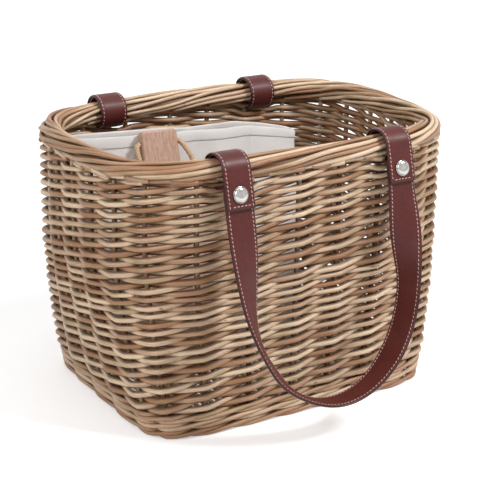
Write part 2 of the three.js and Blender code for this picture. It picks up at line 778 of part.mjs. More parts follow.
function boardGeometry() {
  const slab = new THREE.ExtrudeGeometry(boardOutline(), {
    depth: BOARD_THICKNESS,
    bevelEnabled: false,
    curveSegments: 6,
  });
  slab.translate(0, 0, -BOARD_THICKNESS / 2);
  slab.rotateX(Math.PI / 2);
  const hole = new THREE.CylinderGeometry(1, 1, 1, ROD_SIDES);
  hole.scale(ROPE_HOLE_DIAMETER / 2, 2 * BOARD_HANDLE_WIDTH, ROPE_HOLE_DIAMETER / 2);
  hole.rotateZ(Math.PI / 2);
  hole.translate(0, 0, BOARD_LENGTH - ROPE_HOLE_DROP);
  return placeOnBoard(cut(slab, [hole]));
}

// Rope loop: through the handle from edge to edge, down both sides and together in front
function ropeGeometry() {
  const side = BOARD_HANDLE_WIDTH / 2;
  const height = BOARD_LENGTH - ROPE_HOLE_DROP;
  const front = -(BOARD_THICKNESS / 2 + ROPE_DIAMETER / 2 + FIT_GAP);
  const branch = (turn, spread) => [
    new THREE.Vector3(turn * side, 0, height),
    new THREE.Vector3(turn * (side + ROPE_DIAMETER * 0.85), front / 6, height - ROPE_DIAMETER / 2),
    new THREE.Vector3(turn * (side + spread), front / 2, height - ROPE_DROP / 4),
    new THREE.Vector3(turn * (side + spread), front, height - ROPE_DROP / 2),
    new THREE.Vector3(turn * side, front, height - ROPE_DROP * 0.86),
  ];
  const middle = new THREE.Vector3(0, 0, height);
  const low = new THREE.Vector3(0, front, height - ROPE_DROP);
  const right = branch(1, ROPE_SPREAD_RIGHT);
  const left = branch(-1, ROPE_SPREAD_LEFT).reverse();
  const curve = new THREE.CatmullRomCurve3([middle, ...right, low, ...left], true, 'centripetal');
  const steps = 36;
  const rings = [];
  for (let i = 0; i < steps; i += 1) {
    const centre = curve.getPointAt(i / steps);
    const along = curve.getTangentAt(i / steps);
    const back = new THREE.Vector3(0, 1, 0).addScaledVector(along, -along.y).normalize();
    const across = along.clone().cross(back);
    const ring = [];
    for (let j = 0; j < ROD_SIDES; j += 1) {
      const angle = (j / ROD_SIDES) * 2 * Math.PI;
      ring.push(centre.clone()
        .addScaledVector(back, (Math.cos(angle) * ROPE_DIAMETER) / 2)
        .addScaledVector(across, (Math.sin(angle) * ROPE_DIAMETER) / 2));
    }
    rings.push(ring);
  }
  return placeOnBoard(loft(rings, true));
}

addPiece(basket, 'serving_board', boardGeometry(), BOARD_WOOD);
addPiece(basket, 'board_rope', ropeGeometry(), JUTE);

export default basket;
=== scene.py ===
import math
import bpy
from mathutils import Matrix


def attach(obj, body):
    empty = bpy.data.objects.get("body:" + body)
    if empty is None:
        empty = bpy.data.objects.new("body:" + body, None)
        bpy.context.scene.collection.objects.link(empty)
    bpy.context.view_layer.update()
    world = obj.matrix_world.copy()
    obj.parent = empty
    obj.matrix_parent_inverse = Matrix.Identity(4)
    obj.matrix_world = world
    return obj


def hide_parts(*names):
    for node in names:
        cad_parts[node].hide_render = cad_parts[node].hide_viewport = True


bl_info = {
    "name": "Woven Picnic Basket",
    "version": (1, 0, 0),
    "blender": (4, 5, 0),
    "location": "View3D > Sidebar > Basket",
    "description": "Makes a woven picnic basket with strap handles, a canvas bag and a board",
    "category": "Object",
}

import bpy
import numpy as np
from mathutils import Matrix, Vector

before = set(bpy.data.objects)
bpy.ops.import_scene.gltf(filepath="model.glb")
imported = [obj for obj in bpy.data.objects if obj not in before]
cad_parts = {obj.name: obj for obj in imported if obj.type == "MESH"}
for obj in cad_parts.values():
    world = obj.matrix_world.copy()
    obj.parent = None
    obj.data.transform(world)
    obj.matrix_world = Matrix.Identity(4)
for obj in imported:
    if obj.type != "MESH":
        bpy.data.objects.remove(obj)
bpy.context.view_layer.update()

MM = 0.001

# Basket wall, in millimetres, as in the part's source
HEIGHT = 285.0
RISE_HEIGHT = 190.0
RISE_POWER = 1.5
HALF_LENGTHS = (168.0, 199.5)
HALF_WIDTHS = (129.0, 138.6)
SQUARENESSES = (6.6, 3.53)
STAKE_DEPTH = 5.95
FRONT_PLACES = np.array([-1, -0.73, -0.41, -0.085, 0.19, 0.475, 0.76, 1])
SIDE_PLACES = np.linspace(-1, 1, 5)
FRONT_REACHES = (150.0, 172.0)
SIDE_REACHES = (98.0, 78.0)
STAKES = 2 * (len(FRONT_PLACES) + len(SIDE_PLACES))
BORDER_RADIUS = 12.0
BORDER_DEPTH = 8.4
BORDER_CENTRE = HEIGHT - BORDER_RADIUS
UP = np.array([0.0, 0.0, 1.0])

# Strap handles; a twist is given by the drops where it starts and ends and by its degrees
STRAP_THICKNESS = 3.0
TAB_OFFSET = 93.5
LOOP_RADIUS = 16.3
LOOP_BEND = 4.0
FLAP_OUT = 19.6
FLAP_START = 6.0
FLAP_LENGTH = 38.5
RIVET_DROP = 24.3
HINGE_Y = -127.112
TILT = math.radians(15)
HANDLE_LOWEST = 37.5
HANDLE_DROP = (BORDER_CENTRE - HANDLE_LOWEST) / math.cos(TILT)
HANDLE_SAG = 14.0
HANDLE_BOW = 122.0
LEFT_TWIST = (50.0, 195.0, 62.0)
RIGHT_TWIST = (35.0, 150.0, 78.0)
BOTTOM_TWIST = 89.0
BOTTOM_TWIST_START = 200.0
OUT = np.array([0.0, -math.cos(TILT), math.sin(TILT)])
DOWN = np.array([0.0, -math.sin(TILT), -math.cos(TILT)])
HINGE = np.array([0.0, HINGE_Y, BORDER_CENTRE])

# Canvas bag and board
CONTENTS_FLOOR = 13.3
BAG_LEFT = -156.5
BAG_LENGTH = 266.0
BAG_BACK = 98.0
BAG_FOOT_DEPTH = 102.0
BAG_MOUTH_DEPTH = 26.0
BAG_TOP = 262.0
BAG_SQUARENESS = 5.0
BAG_FOOT_SHARE = HALF_LENGTHS[0] / HALF_LENGTHS[1]
BAG_HEIGHT = BAG_TOP - CONTENTS_FLOOR
BOARD_LENGTH = 259.0
BOARD_WIDTH = 118.0
BOARD_THICKNESS = 12.0
BOARD_GRIP = 42.0
BOARD_GRIP_LENGTH = 70.0
BOARD_SHOULDER = 24.0
BOARD_CENTRE = -67.0
BOARD_GAP = 1.0
BOARD_LEAN = math.atan2(BAG_FOOT_DEPTH - BAG_MOUTH_DEPTH, BAG_HEIGHT)
ROPE_HOLE_DROP = 13.0
ROPE_RADIUS = 3.0
ROPE_SPREADS = (5.0, 15.0)
ROPE_DROP = 96.0


def srgb(red, green, blue):
    """Linear colour of three screen values from 0 to 255."""
    screen = np.array([red, green, blue]) / 255
    low = screen / 12.92
    high = ((screen + 0.055) / 1.055) ** 2.4
    return tuple(float(part) for part in np.where(screen <= 0.04045, low, high))


def mix(low, high, share):
    return low + (high - low) * share


def smooth(share):
    """Rises from 0 to 1 with level ends."""
    share = np.clip(share, 0, 1)
    return share * share * (3 - 2 * share)


def unit(vectors):
    return vectors / np.linalg.norm(vectors, axis=-1, keepdims=True)


def dot(first, second):
    return np.sum(first * second, axis=-1, keepdims=True)


def run_lengths(points):
    """Length along a line, or along each of several, from its first point to each of its points."""
    steps = np.linalg.norm(np.diff(points, axis=-2, prepend=points[..., :1, :]), axis=-1)
    return np.cumsum(steps, axis=-1)


def at_lengths(wanted, lengths, data):
    """Vectors at the wanted lengths along a line, from the vectors at its points."""
    return np.stack([np.interp(wanted, lengths, data[:, axis]) for axis in range(3)], axis=-1)


def waver(size, pace, along, phase):
    """Sine of a size and a pace, which is its radians for each step along."""
    return size * np.sin(along * pace + phase)


# Settings that a user would change


class WillowSettings(bpy.types.PropertyGroup):
    light: bpy.props.FloatVectorProperty(
        name="Light rod", description="Colour of the palest rods", subtype="COLOR",
        size=3, min=0, max=1, default=srgb(236, 208, 176))
    dark: bpy.props.FloatVectorProperty(
        name="Dark rod", description="Colour of the brownest rods", subtype="COLOR",
        size=3, min=0, max=1, default=srgb(160, 113, 77))
    olive: bpy.props.FloatVectorProperty(
        name="Olive streak", description="Colour of the greenish streaks", subtype="COLOR",
        size=3, min=0, max=1, default=srgb(156, 134, 90))
    rod_share: bpy.props.FloatProperty(
        name="Rod thickness", description="Rod thickness as a share of the spacing of the rows",
        default=0.59, min=0.3, max=0.7)
    swing: bpy.props.FloatProperty(
        name="Swing", description="How far the rods swing in and out round the stakes",
        default=0.0057, min=0.004, max=0.007, unit="LENGTH")


class StrapSettings(bpy.types.PropertyGroup):
    leather: bpy.props.FloatVectorProperty(
        name="Leather", description="Colour of the strap's faces", subtype="COLOR",
        size=3, min=0, max=1, default=srgb(84, 31, 26))
    edge: bpy.props.FloatVectorProperty(
        name="Edge", description="Colour of the burnished edges", subtype="COLOR",
        size=3, min=0, max=1, default=srgb(46, 18, 20))
    thread: bpy.props.FloatVectorProperty(
        name="Thread", description="Colour of the stitches", subtype="COLOR",
        size=3, min=0, max=1, default=srgb(222, 190, 186))
    width: bpy.props.FloatProperty(
        name="Width", description="Width of the strap", default=0.031, min=0.02, max=0.04,
        unit="LENGTH")
    stitch: bpy.props.FloatProperty(
        name="Stitch length", description="Distance from one stitch to the next",
        default=0.004, min=0.002, max=0.006, unit="LENGTH")


class ContentsSettings(bpy.types.PropertyGroup):
    canvas: bpy.props.FloatVectorProperty(
        name="Canvas", description="Colour of the bag's cloth", subtype="COLOR",
        size=3, min=0, max=1, default=srgb(226, 222, 219))
    board: bpy.props.FloatVectorProperty(
        name="Board", description="Colour of the board's wood", subtype="COLOR",
        size=3, min=0, max=1, default=srgb(206, 172, 152))
    rope: bpy.props.FloatVectorProperty(
        name="Rope", description="Colour of the rope", subtype="COLOR",
        size=3, min=0, max=1, default=srgb(236, 208, 174))
    rope_diameter: bpy.props.FloatProperty(
        name="Rope diameter", description="Outer diameter of the twisted rope",
        default=0.006, min=0.004, max=0.006, unit="LENGTH")


# Materials: noises on the rods' grain, the cloth's or the board's place have scales in waves to a
# millimetre, and those on Object coordinates in waves to a metre

FIBRE = srgb(98, 68, 48)
LEAF_SCAR = srgb(84, 56, 40)
CUT_END = srgb(136, 116, 102)
PAINTED_FLANK_SHADE = srgb(80, 57, 36)
LEATHER_CLOUD = srgb(94, 38, 33)
THREAD_SHADE = srgb(170, 136, 124)
NICKEL = srgb(196, 194, 190)
PATINA = srgb(158, 156, 154)
CANVAS_DIRT = srgb(206, 200, 196)
SLUB = srgb(190, 178, 166)
CANVAS_HOLLOW_SHADE = srgb(170, 162, 156)
WOOD_RING = srgb(178, 136, 116)
WOOD_MOTTLE = srgb(170, 130, 112)
WOOD_PORE = srgb(132, 94, 78)
ROPE_SHADE = srgb(182, 146, 110)


class Value:
    """A socket's number, so that sums and products in a material are written as they are read."""

    def __init__(self, tree, socket):
        self.tree = tree
        self.socket = socket

    def worked(self, operation, first, second=0.0):
        made = self.tree.nodes.new("ShaderNodeMath")
        made.operation = operation
        for place, value in enumerate((first, second)):
            if isinstance(value, Value):
                self.tree.links.new(value.socket, made.inputs[place])
            else:
                made.inputs[place].default_value = value
        return Value(self.tree, made.outputs[0])

    def __add__(self, other):
        return self.worked("ADD", self, other)

    def __radd__(self, other):
        return self.worked("ADD", other, self)

    def __sub__(self, other):
        return self.worked("SUBTRACT", self, other)

    def __rsub__(self, other):
        return self.worked("SUBTRACT", other, self)

    def __mul__(self, other):
        return self.worked("MULTIPLY", self, other)

    def __rmul__(self, other):
        return self.worked("MULTIPLY", other, self)

    def sine(self):
        return self.worked("SINE", self)

    def larger(self, other):
        return self.worked("MAXIMUM", self, other)


class Finish:
    """A material while it is put together, with short ways to add nodes to it."""

    def __init__(self, name, roughness=0.5, sockets=None):
        self.material = bpy.data.materials.new(name)
        self.material.use_nodes = True
        self.tree = self.material.node_tree
        self.shader = self.tree.nodes["Principled BSDF"]
        self.feed(self.shader.inputs["Roughness"], roughness)
        for key, value in (sockets or {}).items():
            self.feed(self.shader.inputs[key], value)

    def feed(self, socket, value):
        if isinstance(value, Value):
            self.tree.links.new(value.socket, socket)
        elif socket.type == "RGBA" and len(value) == 3:
            socket.default_value = (*value, 1)
        else:
            socket.default_value = value

    def add(self, kind, settings=None, inputs=None, output=0):
        made = self.tree.nodes.new(kind)
        for key, value in (settings or {}).items():
            setattr(made, key, value)
        for key, value in (inputs or {}).items():
            self.feed(made.inputs[key], value)
        return Value(self.tree, made.outputs[output])

    def place(self):
        return self.add("ShaderNodeTexCoord", output="Object")

    def attribute(self, name, output="Vector"):
        return self.add("ShaderNodeAttribute", {"attribute_name": name}, output=output)

    def part(self, vector, axis):
        return self.add("ShaderNodeSeparateXYZ", None, {0: vector}, axis)

    def scaled(self, vector, scale):
        return self.add("ShaderNodeMapping", None, {"Vector": vector, "Scale": scale})

    def noise(self, vector, scale, detail=2.0, rough=0.5):
        return self.add("ShaderNodeTexNoise", None, {
            "Vector": vector, "Scale": scale, "Detail": detail, "Roughness": rough}, "Fac")

    def ramp(self, value, low, high, to_low=0.0, to_high=1.0):
        return self.add("ShaderNodeMapRange", {"interpolation_type": "SMOOTHSTEP"}, {
            "Value": value, "From Min": low, "From Max": high, "To Min": to_low, "To Max": to_high})

    def tint(self, colour, other, value, low, high, most=1.0):
        """The colour, with the other laid over it as a value goes from low to high."""
        share = self.ramp(value, low, high, 0.0, most)
        return self.add("ShaderNodeMix", {"data_type": "RGBA"}, {0: share, 6: colour, 7: other}, 2)

    def rough(self, value):
        self.feed(self.shader.inputs["Roughness"], value)

    def bump(self, height, strength, distance):
        self.feed(self.shader.inputs["Normal"], self.add("ShaderNodeBump", None, {
            "Height": height, "Strength": strength, "Distance": distance}))

    def done(self, colour):
        self.feed(self.shader.inputs["Base Color"], colour)
        return self.material


def willow_finish():
    """Peeled and boiled willow: a tone for each rod that drifts along it, long streaks, fine
    fibres, olive patches where bark was, dark leaf scars, grey cut ends, and painted shade on the
    upper and lower flanks, where the rods meet, by the square of their height from the rod's middle."""
    settings = bpy.context.scene.basket_willow
    finish = Finish("willow", sockets={"Specular IOR Level": 0.5})
    grain = finish.attribute("rod_grain")
    tone = finish.attribute("rod_tone", "Fac")
    cut = finish.attribute("rod_cut", "Fac")
    drift = finish.noise(finish.scaled(grain, (0.011, 0.05, 0.05)), 1.0, 2.0)
    streaks = finish.noise(finish.scaled(grain, (0.02, 0.9, 0.9)), 1.0, 3.0, 0.6)
    patches = finish.noise(finish.scaled(grain, (0.016, 0.1, 0.1)), 1.3, 2.0)
    fibres = finish.noise(finish.scaled(grain, (0.12, 3.0, 3.0)), 1.0, 2.0, 0.6)
    scars = finish.noise(finish.scaled(grain, (0.09, 0.35, 0.35)), 1.0, 1.0)
    flank = finish.part(grain, 2)
    share = 0.42 * tone + 0.75 * drift + 0.35 * streaks - 0.16
    colour = finish.tint(settings.light, settings.dark, share, 0.3, 0.85)
    colour = finish.tint(colour, settings.olive, patches, 0.55, 0.7, 0.6)
    colour = finish.tint(colour, FIBRE, fibres, 0.6, 0.3, 0.36)
    colour = finish.tint(colour, LEAF_SCAR, scars, 0.73, 0.8, 0.7)
    colour = finish.tint(colour, CUT_END, cut, 0.3, 0.7)
    # Painted shade: each rod's upper and lower flanks, where the rods meet, darken by the square of
    # their height from the rod's middle
    colour = finish.tint(colour, PAINTED_FLANK_SHADE, flank * flank, 2.2, 7.0, 0.7)
    finish.rough(finish.ramp(streaks, 0.3, 0.7, 0.36, 0.5))
    finish.bump(fibres + 0.6 * streaks, 0.4, 0.0004)
    return finish.done(colour)


def leather_finish():
    """Smooth vegetable leather: fine pores, cloudy dye, painted shade in the creases and darker
    burnished edges.
    """
    settings = bpy.context.scene.basket_strap
    finish = Finish("leather", sockets={
        "Specular IOR Level": 0.3, "Coat Weight": 0.04, "Coat Roughness": 0.2})
    place = finish.place()
    clouds = finish.noise(place, 42.0, 3.0)
    pores = finish.noise(place, 1500.0, 2.0)
    creases = finish.noise(place, 320.0, 3.0, 0.6)
    edge = finish.attribute("strap_edge", "Fac")
    colour = finish.tint(settings.leather, LEATHER_CLOUD, clouds, 0.35, 0.7, 0.4)
    # Painted shade: the colour darkens toward the edge colour in the hollows of the creases, where
    # their bump is low
    colour = finish.tint(colour, settings.edge, creases, 0.62, 0.4, 0.25)
    colour = finish.tint(colour, settings.edge, edge, 0.25, 0.9)
    finish.rough(finish.ramp(clouds, 0.3, 0.7, 0.38, 0.52))
    finish.bump(pores + 1.5 * creases, 0.25, 0.0003)
    return finish.done(colour)


def thread_finish():
    """Waxed linen thread with a fine twist."""
    settings = bpy.context.scene.basket_strap
    finish = Finish("thread", 0.6)
    fuzz = finish.noise(finish.place(), 2200.0, 2.0)
    finish.bump(fuzz, 0.4, 0.0002)
    return finish.done(finish.tint(settings.thread, THREAD_SHADE, fuzz, 0.35, 0.65, 0.4))


def nickel_finish():
    """Polished nickel with faint brushing and a dull patina."""
    finish = Finish("nickel", sockets={"Metallic": 1.0})
    brush = finish.noise(finish.place(), 900.0, 2.0)
    clouds = finish.noise(finish.place(), 160.0, 2.0)
    finish.rough(finish.ramp(brush, 0.3, 0.7, 0.08, 0.16))
    return finish.done(finish.tint(NICKEL, PATINA, clouds, 0.35, 0.65, 0.6))


def canvas_finish():
    """Heavy cotton canvas: a fine square weave with painted shade in its hollows, slubs and soft dirt.
    """
    settings = bpy.context.scene.basket_contents
    finish = Finish("canvas", 0.85, {
        "Sheen Weight": 0.2, "Sheen Roughness": 0.5, "Specular IOR Level": 0.2})
    cloth = finish.attribute("cloth_place")
    weave = (5.2 * finish.part(cloth, 0)).sine() * (5.2 * finish.part(cloth, 1)).sine()
    slubs = finish.noise(finish.scaled(cloth, (0.15, 1.4, 1.0)), 1.0, 2.0)
    clouds = finish.noise(finish.place(), 30.0, 3.0)
    colour = finish.tint(settings.canvas, CANVAS_DIRT, clouds, 0.35, 0.7, 0.35)
    colour = finish.tint(colour, SLUB, slubs, 0.6, 0.75, 0.2)
    # Painted shade: the colour darkens in the hollows of the square weave, where its bump is low
    colour = finish.tint(colour, CANVAS_HOLLOW_SHADE, weave, 0.2, -0.9, 0.2)
    finish.bump(weave + 1.2 * slubs, 0.5, 0.0003)
    return finish.done(colour)


def board_finish():
    """Pale oiled hardwood: faint rings that run up the board and short dark pores."""
    settings = bpy.context.scene.basket_contents
    finish = Finish("board_wood", sockets={"Specular IOR Level": 0.3})
    wood = finish.attribute("board_place")
    rings = finish.noise(finish.scaled(wood, (0.07, 0.006, 0.07)), 1.0, 3.0, 0.55)
    pores = finish.noise(finish.scaled(wood, (2.6, 0.22, 2.6)), 1.0, 2.0, 0.6)
    mottle = finish.noise(finish.scaled(wood, (0.5, 0.12, 0.5)), 1.0, 2.0)
    colour = finish.tint(settings.board, WOOD_RING, (50.0 * rings).sine(), -0.6, 1.0, 0.3)
    colour = finish.tint(colour, WOOD_MOTTLE, mottle, 0.45, 0.7, 0.35)
    colour = finish.tint(colour, WOOD_PORE, pores, 0.6, 0.42, 0.34)
    finish.rough(finish.ramp(pores, 0.3, 0.7, 0.5, 0.65))
    finish.bump(pores, 0.3, 0.0003)
    return finish.done(colour)


def jute_finish():
    """Jute rope: fibres that run along each strand, pale and brown."""
    settings = bpy.context.scene.basket_contents
    finish = Finish("jute", 0.8, {"Sheen Weight": 0.2, "Specular IOR Level": 0.2})
    grain = finish.attribute("rod_grain")
    fibres = finish.noise(finish.scaled(grain, (0.4, 4.0, 4.0)), 1.0, 3.0, 0.6)
    finish.bump(fibres, 0.8, 0.0005)
    return finish.done(finish.tint(settings.rope, ROPE_SHADE, fibres, 0.35, 0.65))


# Meshes

ROD_SIDES = 8
GRAIN_STARTS = (0, 9000)


def make_piece(name, shape, body, material, nodes=(), sharp=None):
    """Object made of a shape: points in millimetres, blocks of faces given by their points'
    numbers, and named values at the points. Edges steeper than the sharp angle stay sharp."""
    points, faces, values = shape
    mesh = bpy.data.meshes.new(name)
    corners = np.concatenate([block.ravel() for block in faces]).astype(np.int32)
    sizes = np.concatenate([np.full(len(block), block.shape[1]) for block in faces])
    mesh.vertices.add(len(points))
    mesh.vertices.foreach_set("co", (points * MM).astype(np.float32).ravel())
    mesh.loops.add(len(corners))
    mesh.loops.foreach_set("vertex_index", corners)
    mesh.polygons.add(len(sizes))
    starts = np.concatenate([[0], np.cumsum(sizes)[:-1]])
    mesh.polygons.foreach_set("loop_start", starts.astype(np.int32))
    mesh.polygons.foreach_set("use_smooth", np.ones(len(sizes), bool))
    mesh.update(calc_edges=True)
    for key, data in values.items():
        data = np.asarray(data, np.float32)
        kind, field = ("FLOAT_VECTOR", "vector") if data.ndim == 2 else ("FLOAT", "value")
        mesh.attributes.new(key, kind, "POINT").data.foreach_set(field, data.ravel())
    if sharp is not None:
        mesh.set_sharp_from_angle(angle=math.radians(sharp))
    mesh.materials.append(material)
    piece = bpy.data.objects.new(name, mesh)
    bpy.context.scene.collection.objects.link(piece)
    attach(piece, body)
    if nodes:
        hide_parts(*nodes)
    return piece


def point_numbers(grid):
    """Numbers of the points of a grid in their order."""
    return np.arange(grid.size).reshape(grid.shape)


def tube_faces(index, closed=False):
    """Quads between the rings of an array of point numbers, whose last two axes are ring and place,
    and a face over each open end."""
    here = index if closed else index[..., :-1, :]
    after = np.roll(index, -1, axis=-2) if closed else index[..., 1:, :]
    quads = np.stack([here, np.roll(here, -1, axis=-1), np.roll(after, -1, axis=-1), after], axis=-1)
    faces = [quads.reshape(-1, 4)]
    if not closed:
        faces.append(index[..., 0, ::-1].reshape(-1, index.shape[-1]))
        faces.append(index[..., -1, :].reshape(-1, index.shape[-1]))
    return faces


def ring_turns(sides):
    """Turns of the points of a rod's ring, even and half a step past outward."""
    return (np.arange(sides) + 0.5) * 2 * math.pi / sides


def rods(centres, radii, outward, seed, sides=ROD_SIDES, closed=False):
    """Round rods: each ring is the middle line's point plus the radius times the cosine outward
    and the sine across, where across is square to the line and to outward. Their values are each
    point's place in its rod's grain, from a random start, the rod's random tone and whether it
    is a cut end."""
    radii = np.broadcast_to(radii, centres.shape[:2])
    if closed:
        along = unit(np.roll(centres, -1, axis=1) - np.roll(centres, 1, axis=1))
    else:
        along = unit(np.gradient(centres, axis=1))
    outward = unit(outward - along * dot(outward, along))
    across = np.cross(along, outward)
    turn = ring_turns(sides)
    out = radii[..., None] * np.cos(turn)
    aside = radii[..., None] * np.sin(turn)
    points = (centres[:, :, None] + out[..., None] * outward[:, :, None]
              + aside[..., None] * across[:, :, None])
    chance = np.random.default_rng(seed)
    start = chance.uniform(*GRAIN_STARTS, (len(centres), 1))
    length = np.broadcast_to((start + run_lengths(centres))[:, :, None], out.shape)
    grain = np.stack([length, out + start[..., None], aside], axis=-1)
    tone = np.broadcast_to(chance.uniform(0, 1, (len(centres), 1, 1)), out.shape)
    values = {"rod_grain": grain.reshape(-1, 3), "rod_tone": tone.ravel(),
              "rod_cut": np.zeros(tone.size)}
    return points.reshape(-1, 3), tube_faces(point_numbers(out), closed), values


def join_parts(parts):
    """Several sets of points, faces and values as one set."""
    start = 0
    faces = []
    for points, blocks, _ in parts:
        faces += [block + start for block in blocks]
        start += len(points)
    values = {key: np.concatenate([part[2][key] for part in parts]) for key in parts[0][2]}
    return np.concatenate([part[0] for part in parts]), faces, values


def turned(profile, centre, axis, steps=48):
    """Turned shape: a profile of radius and height, carried round the axis from a centre point."""
    axis = unit(np.array(axis, float))
    first = unit(np.cross(axis, (1.0, 0.0, 0.0)))
    second = np.cross(axis, first)
    turn = np.arange(steps) * 2 * math.pi / steps
    ring = np.cos(turn)[:, None] * first + np.sin(turn)[:, None] * second
    radius = profile[:, 0, None, None]
    height = profile[:, 1, None, None]
    points = centre + radius * ring + height * axis
    return points.reshape(-1, 3), tube_faces(point_numbers(points[..., 0])), {}


# Basket wall: places are counted in stakes round the basket, and are even between the stakes

LEVEL_STEP = 5.0
LEVELS = np.arange(-5.0, 295.0, LEVEL_STEP)
SHARES = 16
OUTLINE_STEPS = 9000


def wall_rise(height):
    """How far the wall has grown: 1 less a power of the share of the height that is left."""
    return 1 - np.maximum(0, 1 - np.maximum(0, height) / RISE_HEIGHT) ** RISE_POWER


def wall_sizes(height):
    """Half length, half width and squareness of the wall, which go with its rise."""
    rise = wall_rise(height)
    return mix(*HALF_LENGTHS, rise), mix(*HALF_WIDTHS, rise), mix(*SQUARENESSES, rise)


def half_across(place, half, other_half, square):
    """Half breadth of a superellipse at a place along its other axis: the breadth times the root of
    1 less the same power of the place's share."""
    return other_half * (1 - np.abs(place / half) ** square) ** (1 / square)


def wall_outline(turn, height):
    """Point of the wall's outline: half sizes times cosine and sine, times the superellipse radius."""
    length, width, square = wall_sizes(height)
    cosine, sine = np.cos(turn), np.sin(turn)
    radius = (np.abs(cosine) ** square + np.abs(sine) ** square) ** (-1 / square)
    return length * cosine * radius, width * sine * radius


def stake_turns(height):
    """Turns of the stakes about the basket at one height, from the front left corner round."""
    length, width, square = wall_sizes(height)
    across = FRONT_PLACES * mix(*FRONT_REACHES, wall_rise(height))
    deep = SIDE_PLACES * mix(*SIDE_REACHES, wall_rise(height))
    front = half_across(across, length, width, square)
    side = half_across(deep, width, length, square)
    x = np.concatenate([across, side, across[::-1], -side])
    y = np.concatenate([-front, deep, front, deep[::-1]])
    return np.unwrap(np.arctan2(y / width, x / length))


def wall_table():
    """Turn for each height level and place, by the length of the outline between the stakes."""
    rows = []
    turn = np.linspace(-math.pi * 1.5, math.pi * 3, OUTLINE_STEPS + 1)
    for height in LEVELS:
        length = run_lengths(np.stack(wall_outline(turn, height), axis=-1))
        stakes = stake_turns(height)
        stakes = np.append(stakes, stakes[0] + 2 * math.pi)
        at = np.interp(stakes, turn, length)
        places = np.interp(np.arange(STAKES * SHARES + 1) / SHARES, np.arange(STAKES + 1), at)
        rows.append(np.interp(places, length, turn))
    return np.array(rows)


WALL_TURNS = wall_table()


def wall_point(place, height, depth):
    """Points at a place in stakes, a height, and a depth inward from the wall's outline, and the
    outline's outward direction there, square to the superellipse."""
    place, height, depth = np.broadcast_arrays(place, height, depth)
    column = np.mod(place, STAKES) * SHARES
    first = np.minimum(column.astype(int), STAKES * SHARES - 1)
    part = column - first
    row = np.clip((height - LEVELS[0]) / LEVEL_STEP, 0, len(LEVELS) - 1.001)
    low = row.astype(int)
    rest = row - low
    turn = mix(mix(WALL_TURNS[low, first], WALL_TURNS[low, first + 1], part),
               mix(WALL_TURNS[low + 1, first], WALL_TURNS[low + 1, first + 1], part), rest)
    x, y = wall_outline(turn, height)
    length, width, square = wall_sizes(height)
    outward = unit(np.stack([np.sign(x) * np.abs(x / length) ** (square - 1) / length,
                             np.sign(y) * np.abs(y / width) ** (square - 1) / width,
                             np.zeros_like(x)], axis=-1))
    points = np.stack([x, y, height], axis=-1) - depth[..., None] * outward
    return points, outward


# Weave: a rod's line has so many steps to a stake, and some before its first stake. The diameters
# are those at the drawn share of the rows' spacing, and each band's rows draw together upward.
# Wavers are the size and the pace of a sine, and spreads the ends of a random range.

STROKE_STEPS = 12
LEAD_STEPS = 4
BEND = 0.997
WEAVE_OUT = 1.2
DRAWN_SHARE = 0.485
LOWER_BAND = {"low": 26.8, "pitch": 11.5, "shrink": 0.0264, "spans": 25.6,
              "diameters": (5.7, 4.3), "seed": 11}
UPPER_BAND = {"low": 151.5, "pitch": 11.3, "shrink": 0.02252, "spans": 23.0,
              "diameters": (5.7, 4.5), "seed": 12}
EACH_STAKE = np.arange(STAKES)[:, None]
HEIGHT_SPREAD = (-0.6, 0.6)
HEIGHT_WAVER = (0.35, 1.9)
SWING_WAVER = (0.06, 2.3)
GIRTH_SPREAD = (0.9, 1.1)
GIRTH_WAVER = (0.05, 3.7)
FULL_TURN = (0, 2 * math.pi)

# Where the strap loops press the top rows of the weave down
DIP = 3.8
DIP_HALF_WIDTH = 15.0
DIP_FADE = 15.0
DIP_HEIGHT = 238.0
DIP_RISE = 14.0
LONG_SIDE = 100.0

# Bottom wale
WALE_HEIGHTS = (4.7, 13.2, 21.4)
WALE_DEPTHS = (0.35, 10.35)
WALE_RADIUS = 2.35
WALE_SLANT = 2.5
WALE_LOWEST = 2.4
WALE_TURNS = 3

# Border, with turns in degrees about its middle line, from outward and up
BORDER_SPANS = 10.0
BORDER_STEPS = 100
BORDER_TURNS = (-84, 236)
BORDER_TURN_SPREAD = (-7, 7)
BORDER_TURN_WAVERS = ((5, 13), (3, 31))
BORDER_DIAMETERS = (6.2, 4.0)
BORDER_GIRTH_SPREAD = (0.78, 1.12)
PROUD_WAVER = (0.7, 17)
PROUD_SPREAD = (-1.0, 0.5)
BORDER_CORE = 7.0
BORDER_SEED = 7
STUB_STARTS = (0.1, 0.5)
STUB_TURNS = (-46, -14)
STUB_FALL = 0.25
STUB_RADII = (2.2, 3.0)
STUB_CUT = (0, 0.001)
STUB_SHOULDER = 0.16
STUB_SPANS = 0.62
STUB_STEPS = 9
STUB_PROUD = 1.2
CUT_SLANT = 1.6

# Stakes, with their numbers in the order in which the weave passes them
STAKE_RADIUS = 2.7
STAKE_HEIGHTS = (1.5, 263.0)
STAKE_STEPS = 40
STAKE_NUMBERS = (*range(1, 14), *range(21, 13, -1), *range(26, 21, -1))
THICK_ROD_SIDES = 10

# Base
STICKS = 5
STICK_SPACING = 42.0
STICK_HALF_LENGTH = 145.0
STICK_RADIUS = 2.6
STICK_STEPS = 30
BASE_HEIGHT = 8.0
CROSS_RODS = 74
CROSS_STEPS = 60
CROSS_SPACING = 4.24
CROSS_RADIUS = 1.95
CROSS_SWING = 3.3
CROSS_SIDES = 6
CROSS_INSETS = (9.0, 10.0)


def in_and_out(step):
    """From 1 inside an even stake to -1 outside an odd one: the arc sine of a cosine that is drawn
    in a little, so nearly straight between the stakes and bent at each."""
    return np.arcsin(BEND * np.cos(math.pi * step)) / math.asin(BEND)


